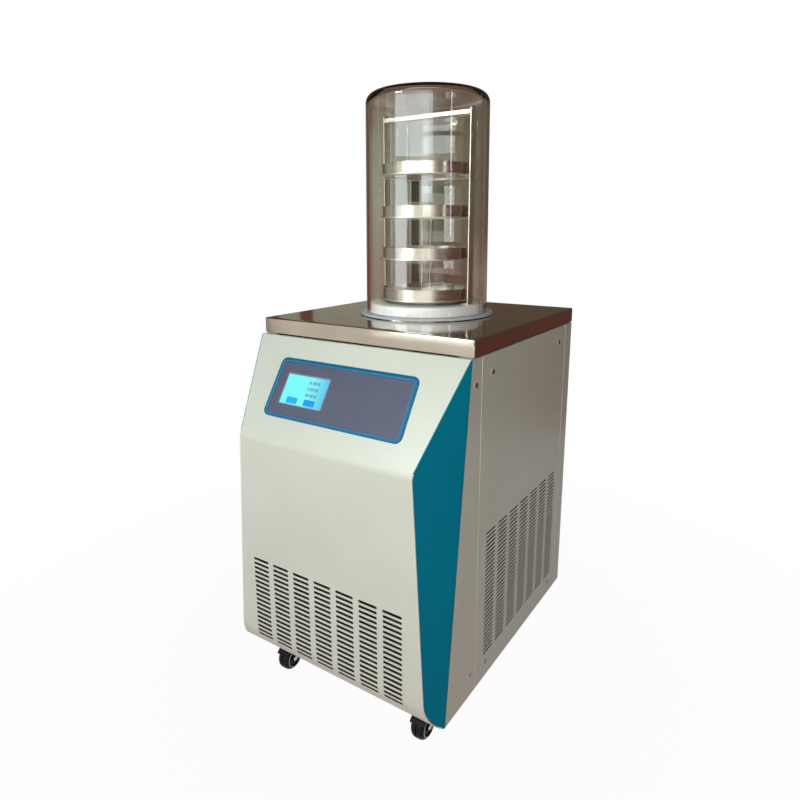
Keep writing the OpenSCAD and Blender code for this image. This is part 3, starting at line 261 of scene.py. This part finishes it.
# Lighter blue than the frame, on the same plastic: a painted highlight on the bead's crest.
lit_bead_blue = moulded("blue_abs_lightened_as_bead_highlight", "#1f86ad", "#288cb2", 0.32, gloss=0.35)
film = moulded("printed_polyester_film", "#555b6f", "#585d71", 0.45, 1.2, 0.02, gloss=0.25)
foam = moulded("rigid_polyurethane_foam", "#cdbd85", "#dccd98", 0.85, 2.0, 0.2)
enamel = powder_coat("black_gloss_enamel", "#141414", "#1c1c1c", 0.25)
dark_metal = powder_coat("grey_stove_enamel", "#3f4347", "#494d51", 0.45)
copper = steel("drawn_copper_tube", "#b56f45", "#c98558", 0.28)
brass = steel("turned_brass", "#b8913f", "#c9a55a", 0.25)
aluminium = steel("rolled_aluminium_fins", "#5f6163", "#707274", 0.45, (1, 1, 12))
display = lit_display("backlit_display", "#7dfdff", "#62c8f2", (0.62, 0.98))
display_keys = lit_display("backlit_keys", "#14b4f0", "#0c9cf0", (0.3, 0.7))
display_rows = lit_display("backlit_figures", "#86c8d2", "#6aa8c4", (0.4, 0.9), 0.9)


def paint_slot_shade(*names):
    """Paints the small level faces inside the punched slots dark: painted shade in the slots, not a real
    coat. Sizes in metres and square metres.
    """
    slots_low, slots_high = 0.095, 0.6
    largest, least_level = 8e-5, 0.6
    for name in names:
        mesh = parts[name].data
        mesh.materials.append(slot_shade_paint)
        for face in mesh.polygons:
            level = abs(face.normal.z) > least_level and face.area < largest
            if level and slots_low < face.center.z < slots_high:
                face.material_index = 1


sheets = ("front_cover", "side_panel_left", "side_panel_right", "rear_panel")
dress(cream, *sheets)
paint_slot_shade(*sheets)
dress(teal, "cheek_left", "cheek_right")
dress(frame_grey, "base_frame")
dress(polished, "top_plate", "seat_flange")
dress(rack_steel, "rack_frame", "rack_shelves")
dress(bright_steel, "cold_trap", "vacuum_pipe", "drain_pipe", "caster_plates", "power_supply")
dress(tray_steel, "tray_1", "tray_2", "tray_3", "tray_4")
dress(plated, "panel_screws")
dress(acrylic, "drum")
dress(white_plastic, "support_ring")
dress(silicone, "seal_ring")
dress(rubber, "compressor_feet")
dress(mat_fibre, "vent_screens")
dress(black_plastic, "fan_rotor", "power_entry", "switch_rocker", "pump_socket",
      *[name for name in parts if name.startswith("caster_body")])
dress(tread, *[name for name in parts if name.startswith("wheel_")])
dress(red_plastic, "drain_lever")
dress(bezel_blue, "panel_bezel")
dress(film, "panel_overlay")
dress(display, "touch_screen")
dress(foam, "trap_insulation")
dress(enamel, "compressor")
dress(dark_metal, "fan_shroud", "fan_motor", "controller")
dress(copper, "evaporator_coil", "suction_line", "discharge_line", "liquid_line", "expansion_line",
      "filter_drier")
dress(brass, "drain_valve", "inlet_pins")
dress(aluminium, "condenser")


# ---- Added and finer pieces ----

def piece(name, vertices, faces, material, body, smooth_deg=35):
    """A mesh piece that rides on a body, smooth except at edges sharper than smooth_deg."""
    mesh = bpy.data.meshes.new(name)
    mesh.from_pydata(vertices, [], faces)
    mesh.validate()
    mesh.shade_smooth()
    mesh.set_sharp_from_angle(angle=math.radians(smooth_deg))
    mesh.materials.append(material)
    obj = bpy.data.objects.new(name, mesh)
    bpy.context.scene.collection.objects.link(obj)
    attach(obj, body)
    return obj


def loft(loops, closed=True):
    """Vertices and faces through loops of equally many points; closed joins the last to the first."""
    count = len(loops[0])
    vertices = [p for loop in loops for p in loop]
    faces = []
    last = len(loops) if closed else len(loops) - 1
    for k in range(last):
        a, b = k * count, (k + 1) % len(loops) * count
        for i in range(count):
            j = (i + 1) % count
            faces.append((a + i, a + j, b + j, b + i))
    if not closed:
        faces.append(tuple(reversed(range(count))))
        faces.append(tuple(range((len(loops) - 1) * count, len(loops) * count)))
    return vertices, faces


def merge(*solids):
    vertices, faces = [], []
    for points, sides in solids:
        start = len(vertices)
        vertices += points
        faces += [tuple(i + start for i in face) for face in sides]
    return vertices, faces


def round_rect(w, h, r, x=0.0, y=0.0, steps=8):
    """Outline of a rectangle with round corners, anticlockwise from its lower right corner."""
    points = []
    for turn, sx, sy in ((-90, 1, -1), (0, 1, 1), (90, -1, 1), (180, -1, -1)):
        for i in range(steps + 1):
            a = math.radians(turn + 90 * i / steps)
            across = x + sx * (w / 2 - r) + r * math.cos(a)
            points.append((across, y + sy * (h / 2 - r) + r * math.sin(a)))
    return points


def turned(profile, steps=160):
    """Closed lathe shape round the vertical axis; profile runs anticlockwise in (radius, height)."""
    turns = [math.tau * i / steps for i in range(steps)]
    return loft([[at(r * math.cos(a), r * math.sin(a), z) for a in turns] for r, z in profile])


def spun(profile, x, y, z, sign, steps):
    """Loops round a level axis along X; profile runs in (radius, distance outwards)."""
    turns = [math.tau * i / steps for i in range(steps)]
    return [[at(x + sign * out, y + r * math.cos(a), z + r * math.sin(a) * sign) for a in turns]
            for r, out in profile]


def middle_mm(low, high):
    """Middle of a box along Y and Z, in millimetres from the drum's axis and the cabinet's lower edge."""
    return ((low[1] + high[1]) / 2 - AXIS_Y) * 1000, ((low[2] + high[2]) / 2 - EDGE_Z) * 1000


def arc(cx, cy, r, start, end, steps=6):
    """Points on an arc between two angles in degrees."""
    turns = [math.radians(start + (end - start) * i / steps) for i in range(steps + 1)]
    return [(cx + r * math.cos(a), cy + r * math.sin(a)) for a in turns]


def make_bezel():
    """Moulded frame: a long outer slope up to a raised bead, then a drop to the printed film; the bead is a
    lighter blue as a painted highlight.
    """
    w, h, r, mid = 308.0, 116.0, 13.0, 104.0
    inner = (290.5, 101.5, 4.0, 1.25, 102.5)

    def ring(share, out):
        """Outline between the outer edge (0) and the window's edge (1)."""
        a, b = (w, h, r, 0.0, mid), inner
        w2, h2, r2, x2, y2 = [p + (q - p) * share for p, q in zip(a, b)]
        return [on_face(px, py, out) for px, py in round_rect(w2, h2, r2, x2, y2)]

    section = [(0.0, 0.0), (0.0, 1.2), (0.06, 2.1), (0.18, 2.8), (0.5, 3.6), (0.74, 4.1),
               (1.0, 3.7), (1.0, 0.0)]
    vertices, faces = loft([ring(*point) for point in section])
    bezel = piece("bezel_frame", vertices, faces, bezel_blue, "cabinet", 50)
    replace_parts(bezel, "panel_bezel")
    # The bead's crest is drawn in lighter blue as a painted highlight.
    section = [(0.72, 3.6), (0.72, 4.2), (0.77, 4.48), (0.84, 4.5), (0.9, 4.3), (0.92, 3.6)]
    piece("bezel_bead", *loft([ring(*point) for point in section]), lit_bead_blue, "cabinet")


def make_screen_marks():
    """Two lit keys, three rows of figures and the display's thin frame."""
    low_x, high_x = [v[0] * 1000 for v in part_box("touch_screen")]
    w, h, face, mid = high_x - low_x, 56.5, 2.62, 102.5

    def slab(u, v, su, sv, radius=1.0):
        x, y = low_x + u * w, mid + (v - 0.5) * h
        loops = []
        for out, inset in ((face, 0.0), (face + 0.16, 0.0), (face + 0.22, 0.25)):
            outline = round_rect(su * w - 2 * inset, sv * h - 2 * inset, max(radius - inset, 0.1), x, y, 3)
            loops.append([on_face(px, py, out) for px, py in outline])
        return loft(loops, closed=False)

    keys = merge(slab(0.28, 0.13, 0.26, 0.21, 1.5), slab(0.7, 0.13, 0.26, 0.21, 1.5))
    piece("screen_keys", *keys, display_keys, "cabinet")
    marks = []
    for v, widths in ((0.8, (3, 5, 3)), (0.59, (2, 5, 4)), (0.38, (4, 4, 3))):
        u = 0.55
        for wide in widths:
            marks.append(slab(u + wide * 0.011, v, wide * 0.02, 0.1, 0.4))
            u += wide * 0.022 + 0.012
    piece("screen_figures", *merge(*marks), display_rows, "cabinet")
    edge = []
    for out, grow in ((2.9, 0.6), (3.15, 0.6), (3.25, 1.0), (3.25, 1.8), (3.15, 2.2), (2.9, 2.2)):
        outline = round_rect(w + 2 * grow, h + 2 * grow, 1.2 + grow, (low_x + high_x) / 2, mid, 4)
        edge.append([on_face(px, py, out) for px, py in outline])
    piece("screen_frame", *loft(edge), frame_line, "cabinet")


def make_plate():
    """Folded worktop with rounded folds and a round opening."""
    low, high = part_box("top_plate")
    w = (high[0] - low[0]) * 1000
    drop, sheet, fold = (high[2] - low[2]) * 1000, 1.5, 2.2
    opening, border, corner, steps = 95.0, 14.0, 4.0, 16
    loops = []

    def square(inset, z, r):
        outline = round_rect(w - 2 * inset, w - 2 * inset, r, 0, 0, steps)
        loops.append([at(x, y, z) for x, y in outline])

    def hole(z):
        turns = [math.atan2(y, x) for x, y in round_rect(w, w, corner, 0, 0, steps)]
        loops.append([at(opening * math.cos(a), opening * math.sin(a), z) for a in turns])

    square(sheet, TOP_Z - drop, corner - sheet)
    square(0.0, TOP_Z - drop, corner)
    for x, z in arc(fold, TOP_Z - fold, fold, 180, 90, 5):
        square(x, z, corner)
    square(border, TOP_Z, corner)
    hole(TOP_Z)
    hole(TOP_Z - sheet)
    square(border, TOP_Z - sheet, corner)
    square(sheet, TOP_Z - sheet, corner - sheet)
    vertices, faces = loft(loops)
    plate = piece("folded_worktop", vertices, faces, polished, "cabinet", 50)
    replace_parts(plate, "top_plate")


def make_seat():
    """Polished seat with a thin rolled rim, and the white ring that centres the drum."""
    seat_top = TOP_Z + SEAT_T
    inner, rim = 95, 139.0
    seat = [(inner, TOP_Z), (rim, TOP_Z)] + arc(rim, TOP_Z + 0.9, 0.6, -60, 120, 8)
    seat += [(rim - 1.0, seat_top), (inner, seat_top)]
    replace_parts(piece("rolled_seat", *turned(seat), polished, "cabinet"), "seat_flange")
    ring_top, outer_round, inner_round = 684, 3.4, 2
    ring = [(84, seat_top), (117, seat_top)]
    ring += arc(117 - outer_round, ring_top - outer_round, outer_round, 0, 90)
    ring += arc(84 + inner_round, ring_top - inner_round, inner_round, 90, 180)
    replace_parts(piece("turned_ring", *turned(ring), white_plastic, "cabinet"), "support_ring")


def make_wheel_trims():
    """Bright ring on each wheel's outer face and a bright cap on each axle."""
    ring = [(17.1, -2.3), (19.0, -2.3), (19.4, -0.3), (19.0, 0.25), (17.6, 0.3), (17.1, -0.4)]
    for n in range(1, 5):
        for side, sign in (("left", -1), ("right", 1)):
            low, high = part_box("wheel_%d_%s" % (n, side))
            x = (high if sign > 0 else low)[0] * 1000
            trim = loft(spun(ring, x, *middle_mm(low, high), sign, 48))
            piece("wheel_trim_%d_%s" % (n, side), *trim, plated, "roller_%d_%s" % (n, side))
    cap = [(5.7, -1.6), (5.7, -0.4), (5.0, 0.3), (3.2, 0.8), (1.2, 1.0)]
    for n in range(1, 5):
        low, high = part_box("caster_body_%d" % n)
        y, z = middle_mm(*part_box("wheel_%d_left" % n))
        caps = [loft(spun(cap, x * 1000, y, z, sign, 24), closed=False)
                for sign, x in ((-1, low[0]), (1, high[0]))]
        piece("axle_caps_%d" % n, *merge(*caps), chrome, "caster_%d" % n)


def make_seams():
    """Rounded sheet edges where the side panels meet the front cover and the rear panel, in lighter cream as
    a painted highlight along them.
    """
    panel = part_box("side_panel_right")
    x = panel[1][0] * 1000
    y_front, y_rear = [(v[1] - AXIS_Y) * 1000 for v in panel]
    low, high = [(v[2] - EDGE_Z) * 1000 for v in panel]
    beads = []
    for sign in (-1, 1):
        for y in (y_front, y_rear):
            outline = [(-0.9, -0.5), (0.9, -0.5)] + arc(0, -0.1, 0.8, 0, 180, 8)
            loops = [[at(sign * (x + out), y + along, z) for along, out in outline]
                     for z in (low + 1, high - 1)]
            if sign < 0:
                loops.reverse()
            beads.append(loft(loops, closed=False))
    piece("panel_edges", *merge(*beads), lit_edge_cream, "cabinet", 60)


def make_screw_cups():
    """Pressed cup washers under the screws of the side panels, in lighter cream as a painted highlight round
    the screws.
    """
    section = [(4.9, -0.2), (6.9, -0.2), (6.8, 0.1), (6.3, 0.75), (5.9, 0.75), (4.9, 0.15)]
    cups = [loft(spun(section, x, y, z, sign, 32)) for x, y, z, sign in screw_places()]
    piece("screw_cups", *merge(*cups), lit_edge_cream, "cabinet")


def screw_places():
    """Centres of the screw heads on the two sides, from the loose parts of the screws' mesh."""
    mesh = parts["panel_screws"].data
    reach, cell, seat_depth = 0.0005, 0.02, 1.8
    heads = {}
    half = max(abs(v.co.x) for v in mesh.vertices)
    for v in mesh.vertices:
        if abs(v.co.x) > half - reach:
            key = (v.co.x > 0, round(v.co.y / cell), round(v.co.z / cell))
            near = [k for k in heads
                    if k[0] == key[0] and abs(k[1] - key[1]) < 2 and abs(k[2] - key[2]) < 2]
            heads.setdefault(near[0] if near else key, []).append(v.co)
    places = []
    for (right, _, _), points in heads.items():
        y = (min(p.y for p in points) + max(p.y for p in points)) / 2
        z = (min(p.z for p in points) + max(p.z for p in points)) / 2
        sign = 1 if right else -1
        x = sign * (half * 1000 - seat_depth)
        places.append((x, (y - AXIS_Y) * 1000, (z - EDGE_Z) * 1000, sign))
    return places


def make_front_filter():
    """Pleated filter cloth in a thin frame behind the front slots, dark so that it stands in for the shade
    inside the cabinet.
    """
    half_w, low, high, front = 189.0, 33.0, 192.0, -343.6
    pleats = 38
    shallow, deep, thick = 0.6, 3.0, 0.9
    zigzag = [(-half_w + 2 * half_w * i / (2 * pleats), front + (deep if i % 2 else shallow))
              for i in range(2 * pleats + 1)]
    back = [(x, y + thick) for x, y in reversed(zigzag)]
    cloth = loft([[at(x, y, z) for x, y in zigzag + back] for z in (low + 1.5, high - 1.5)], closed=False)
    rims = []
    for inset, y in ((0.0, 0.4), (0.4, 0.0), (4.6, 0.0), (5.0, 0.4), (5.0, 4.2), (0.0, 4.2)):
        outline = round_rect(2 * (half_w - inset), high - low - 2 * inset, 4.0, 0, (low + high) / 2, 4)
        rims.append([at(x, front + y, z) for x, z in outline])
    piece("front_filter", *merge(cloth, loft(rims)), shade_dark_filter_cloth, "cabinet", 20)


def make_cover_edges():
    """Rounded fold of the front cover along the coloured cheeks, in lighter cream as a painted highlight
    along the fold.
    """
    mesh = parts["cheek_right"].data
    face = max((p for p in mesh.polygons if p.normal.x > 0.3 and p.normal.y < -0.3), key=lambda p: p.area)
    out = face.normal.copy()
    level = out.dot(face.center)
    far = max(v.co.x for v in mesh.vertices)
    line = sorted({tuple(round(c, 6) for c in v.co) for v in mesh.vertices
                   if abs(out.dot(v.co) - level) < 3e-5 and v.co.x < far - 0.0003}, key=lambda p: p[2])
    line = [Vector(p) for p in line]
    radius, sunk = 0.0015, 0.0012
    turns = [math.tau * i / 12 for i in range(12)]
    beads = []
    for sign in (1, -1):
        loops = []
        for k, p in enumerate(line):
            run = (line[min(k + 1, len(line) - 1)] - line[max(k - 1, 0)]).normalized()
            ahead = Vector((0, -run.z, run.y)).normalized()
            lean = (out + ahead).normalized()
            side = run.cross(lean).normalized()
            lean = side.cross(run)
            mid = p - lean * sunk
            loops.append([mid + lean * radius * math.cos(a) + side * radius * math.sin(a) for a in turns])
        loops = [[(sign * q.x, q.y, q.z) for q in loop] for loop in loops]
        beads.append(loft(loops if sign > 0 else loops[::-1], closed=False))
    piece("cover_edges", *merge(*beads), lit_edge_cream, "cabinet", 60)


# Lighter cream than the panels' paint: a painted highlight on the rounded edges, folds and cup washers,
# whose rounding also catches real light.
lit_edge_cream = powder_coat("powder_coat_lightened_as_edge_highlight", "#e2e1d4", "#e8e7da", 0.35)
frame_line = moulded("printed_frame_line", "#8d8496", "#948b9c", 0.4)
make_bezel()
make_screen_marks()
make_plate()
make_seat()
make_wheel_trims()
make_seams()
make_screw_cups()
make_front_filter()
make_cover_edges()


# ---- Studio ----

# Heights and distances of the room round the object, in metres.
ROOM_TOP = 4.3
RAMP_TOP = 3.0
NEAR_WALL = 1.7
FAR_WALL = 3.1

def flat_colour(name, stops, strength=1.0):
    """Unlit paint for a card: colours at heights in metres, blended between them."""
    material = bpy.data.materials.new(name)
    material.use_nodes = True
    material.node_tree.nodes.clear()
    place = add(material, "TexCoord").outputs["Object"]
    height = add(material, "SeparateXYZ", inputs={"Vector": place}).outputs["Z"]
    share = value_range(material, height, 0.0, 1.0, 0.0, RAMP_TOP)
    ramp = add(material, "ValToRGB", inputs={"Fac": share})
    for i, (z, shade) in enumerate(stops):
        elements = ramp.color_ramp.elements
        stop = elements[i] if i < 2 else elements.new(z / RAMP_TOP)
        stop.position = z / RAMP_TOP
        stop.color = linear(shade)
    glow = add(material, "Emission", inputs={"Color": ramp.outputs["Color"], "Strength": strength})
    add(material, "OutputMaterial", inputs={"Surface": glow.outputs["Emission"]})
    return material


def hang_card(name, corners, faces, stops, strength=1.0):
    """Unlit card that only metal and glass see."""
    mesh = bpy.data.meshes.new(name)
    mesh.from_pydata(corners, [], faces)
    card = bpy.data.objects.new(name, mesh)
    bpy.context.scene.collection.objects.link(card)
    mesh.materials.append(flat_colour(name + "_paint", stops, strength))
    card.visible_camera = False
    card.visible_diffuse = False
    card.visible_shadow = False


def room_wall(name, start, end, low, high, stops, radius=3.2, strength=1.0):
    """Curved card round the object; angles in degrees from the front, to the right."""
    steps = max(2, int(abs(end - start) / 4))
    corners = []
    for i in range(steps + 1):
        turn = math.radians(start + (end - start) * i / steps)
        for z in (low, high):
            corners.append((radius * math.sin(turn), AXIS_Y - radius * math.cos(turn), z))
    faces = [(2 * i, 2 * i + 2, 2 * i + 3, 2 * i + 1) for i in range(steps)]
    hang_card(name, corners, faces, stops, strength)


def lid(shade):
    """Flat card that closes the room overhead."""
    steps, radius = 48, 3.3
    turns = [2 * math.pi * i / steps for i in range(steps)]
    ring = [(radius * math.sin(a), AXIS_Y - radius * math.cos(a), ROOM_TOP) for a in turns]
    hang_card("lid", ring, [tuple(range(steps))], [(0.0, shade), (RAMP_TOP, shade)])


def soft_light(name, turn, distance, centre_z, width, height, watts, colour, target_z):
    """Rectangular lamp at an angle from the front, to the right, that faces the drum's axis at target_z."""
    lamp = bpy.data.lights.new(name, "AREA")
    lamp.shape = "RECTANGLE"
    lamp.size = width
    lamp.size_y = height
    lamp.energy = watts
    lamp.color = linear(colour)[:3]
    obj = bpy.data.objects.new(name, lamp)
    bpy.context.scene.collection.objects.link(obj)
    angle = math.radians(turn)
    where = Vector((distance * math.sin(angle), AXIS_Y - distance * math.cos(angle), centre_z))
    obj.location = where
    obj.rotation_euler = (Vector((0, AXIS_Y, target_z)) - where).to_track_quat("-Z", "Y").to_euler()
    return obj


def lay_floor():
    """White floor to the eye, warm paint to everything else, so that it takes the shadow."""
    mesh = bpy.data.meshes.new("floor")
    reach = 14
    corners = [(-reach, -reach, 0), (reach, -reach, 0), (reach, reach, 0), (-reach, reach, 0)]
    mesh.from_pydata(corners, [], [(0, 1, 2, 3)])
    floor = bpy.data.objects.new("floor", mesh)
    bpy.context.scene.collection.objects.link(floor)
    material = bpy.data.materials.new("pale_floor")
    material.use_nodes = True
    material.node_tree.nodes.clear()
    paint = add(material, "BsdfDiffuse", inputs={"Color": linear("#a46454")})
    white = add(material, "Emission", inputs={"Color": (1, 1, 1, 1), "Strength": 1.0})
    rays = add(material, "LightPath").outputs
    mirror_share = 0.62
    larger = {"operation": "MAXIMUM"}
    mirrored = add(material, "Math", {"operation": "MULTIPLY"},
                   {0: rays["Is Glossy Ray"], 1: mirror_share})
    seen = add(material, "Math", larger, {0: rays["Is Camera Ray"], 1: mirrored.outputs[0]})
    seen = add(material, "Math", larger, {0: seen.outputs[0], 1: rays["Is Transmission Ray"]})
    place = add(material, "TexCoord").outputs["Object"]
    away = add(material, "VectorMath", {"operation": "LENGTH"}, {0: place}).outputs["Value"]
    fade = value_range(material, away, 0.97, 1.0, 0.45, 1.2)
    share = add(material, "Math", {"operation": "MULTIPLY"}, {0: seen.outputs[0], 1: fade})
    both = add(material, "MixShader", inputs={0: share.outputs[0], 1: paint.outputs[0], 2: white.outputs[0]})
    add(material, "OutputMaterial", inputs={"Surface": both.outputs[0]})
    mesh.materials.append(material)


def light_world():
    """White backdrop to the eye, metal and glass; faint even light on everything else."""
    world = bpy.data.worlds.new("studio")
    bpy.context.scene.world = world
    world.use_nodes = True
    world.node_tree.nodes.clear()
    rays = add(world, "LightPath").outputs
    larger = {"operation": "MAXIMUM"}
    seen = add(world, "Math", larger, {0: rays["Is Camera Ray"], 1: rays["Is Glossy Ray"]})
    seen = add(world, "Math", larger, {0: seen.outputs[0], 1: rays["Is Transmission Ray"]})
    ambient = add(world, "Background", inputs={"Color": linear("#f2f4f2"), "Strength": 0.15})
    white = add(world, "Background", inputs={"Color": (1, 1, 1, 1), "Strength": 1.0})
    both = add(world, "MixShader", inputs={0: seen.outputs[0], 1: ambient.outputs[0], 2: white.outputs[0]})
    add(world, "OutputWorld", inputs={"Surface": both.outputs[0]})


light_world()
lay_floor()
soft_light("window_left", -17, 2.2, 1.29, 0.86, 1.42, 16.3, "#eef7ff", 1.3)
soft_light("window_middle", 7.5, 2.2, 1.29, 1.05, 1.42, 18.8, "#f6faff", 1.3)
soft_light("window_right", 31, 2.2, 1.29, 0.76, 1.42, 11.3, "#fff8f2", 1.3)
soft_light("window_slit", 73.5, 2.2, 1.45, 0.14, 1.1, 3.2, "#f6faff", 1.45)
soft_light("ceiling", 0, 0.2, 2.6, 1.2, 1.2, 1.5, "#fffdf8", 0.7).visible_glossy = False
soft_light("high_right", 80, 2.7, 2.4, 0.6, 0.6, 2.2, "#e6fff0", 0.8).visible_glossy = False
soft_light("rear_fill", 232, 3.0, 1.5, 1.4, 1.4, 10, "#fbfff8", 0.6).visible_glossy = False
bpy.data.objects["rear_fill"].visible_transmission = False
pane = [(0.0, "#eaf5ff"), (RAMP_TOP, "#f2f8ff")]
room_wall("pane_middle", -6, 21.3, 1.3, 2.1, pane, 2.15, 4.4)
room_wall("pane_right", 21.3, 40.8, 1.3, 2.1, pane, 2.15, 4.4)
room_wall("pane_gap", 21.3, 40.8, 1.065, 1.19, pane, 2.04, 4.6)
room_wall("sky_glow", -16, -30, 1.78, 2.3, [(0.0, "#effff2"), (RAMP_TOP, "#effff2")], 2.4, 19.0)
dim = [(0.0, "#4a4640"), (1.3, "#524e46")]
room_wall("blind_middle", -5, 21.8, 0.65, 1.2, dim, 2.05)
room_wall("blind_right", 23.6, 36.4, 0.65, 0.99, dim, 2.05)
room_wall("blind_end", 37.6, 44, 0.65, 0.99, dim, 2.05)
white = [(0.0, "#fbf8f0"), (1.3, "#fbf8f0")]
room_wall("slat_1", -31, 44, 0.56, 0.655, white, 2.0, 1.7)
room_wall("slat_2", -5, 44, 0.77, 0.86, white, 2.0, 1.7)
room_wall("slat_3", -5, 44, 0.98, 1.065, white, 2.0, 1.7)
room_wall("slat_4", -31, 44, 1.19, 1.275, white, 2.0, 2.0)
brown = [(0.0, "#6a4238"), (1.3, "#66433a"), (RAMP_TOP, "#74695c")]
room_wall("right_pale", 44, 50, 0.0, ROOM_TOP, [(0.0, "#d8d0c4"), (RAMP_TOP, "#cfcabf")], NEAR_WALL)
room_wall("right_fade", 50, 56, 0.0, ROOM_TOP, [(0.0, "#a89a8d"), (RAMP_TOP, "#a89f92")], NEAR_WALL)
room_wall("right_shade", 56, 63, 0.0, ROOM_TOP, [(0.0, "#84665b"), (RAMP_TOP, "#877468")], NEAR_WALL)
room_wall("right_wall", 63, 73, 0.0, ROOM_TOP, brown, NEAR_WALL)
room_wall("right_gap", 72, 85, 0.0, ROOM_TOP, brown, 2.4)
room_wall("right_corner", 84, 124, 0.0, ROOM_TOP, brown, NEAR_WALL)
room_wall("right_rear", 124, 166, 0.0, ROOM_TOP,
          [(0.0, "#6a4238"), (0.85, "#654238"), (1.1, "#5f5a4a"), (RAMP_TOP, "#565140")], NEAR_WALL)
room_wall("left_wall", -48, -100, 0.0, ROOM_TOP,
          [(0.0, "#7a6259"), (0.7, "#8a7c70"), (1.1, "#8f9687"), (1.5, "#8f9687"), (1.62, "#3c392c")])
room_wall("left_corner", -100, -134, 0.0, ROOM_TOP,
          [(0.0, "#6a4238"), (1.3, "#6b463f"), (RAMP_TOP, "#6b5a4e")])
room_wall("left_slit", -69, -70.6, 0.4, 2.0, [(0.0, "#ffffff"), (1.5, "#ffffff")], 3.0)
room_wall("left_screen", -29, -48, 0.0, 2.0, [(0.0, "#efe8dc"), (0.9, "#efe7da")], FAR_WALL, 1.1)
room_wall("left_high", 46, -48, 2.5, ROOM_TOP, [(0.0, "#8b8577"), (RAMP_TOP, "#a5a092")], FAR_WALL)
room_wall("front_low", 46, -29, 0.0, 0.5, [(0.0, "#f0e9de"), (0.9, "#efe7da")], FAR_WALL, 1.25)
room_wall("back_left", 217.3, 236, 0.0, ROOM_TOP,
          [(0.0, "#8a6e64"), (0.65, "#95847a"), (1.06, "#999586"), (RAMP_TOP, "#6a5044")])
room_wall("back_green", 214.2, 217.3, 0.0, ROOM_TOP,
          [(0.0, "#74564f"), (0.6, "#7a6a62"), (1.06, "#787f71"), (RAMP_TOP, "#6a5044")])
room_wall("back_pale", 211.3, 214.2, 0.0, ROOM_TOP,
          [(0.0, "#7b655c"), (0.5, "#8a7c74"), (1.2, "#9aa096"), (RAMP_TOP, "#6a5044")])
room_wall("back_mid", 208.9, 211.3, 0.0, ROOM_TOP,
          [(0.0, "#6f554c"), (0.6, "#74655b"), (1.06, "#5c6152"), (RAMP_TOP, "#6a5044")])
room_wall("back_olive", 203.8, 208.9, 0.0, ROOM_TOP,
          [(0.0, "#6a4d44"), (0.6, "#66524a"), (1.06, "#66634f"), (RAMP_TOP, "#6a5044")])
room_wall("back_right", 166, 203.8, 0.0, ROOM_TOP,
          [(0.0, "#7b6056"), (0.6, "#86766a"), (0.9, "#5f5143"), (RAMP_TOP, "#5f5143")])
room_wall("back_post", 212.7, 213.95, 0.5, 1.29,
          [(0.9, "#463e36"), (1.2, "#34312a"), (1.48, "#34312a")], FAR_WALL)
lid("#6b4a40")

scene = bpy.context.scene
scene.view_settings.view_transform = "Standard"
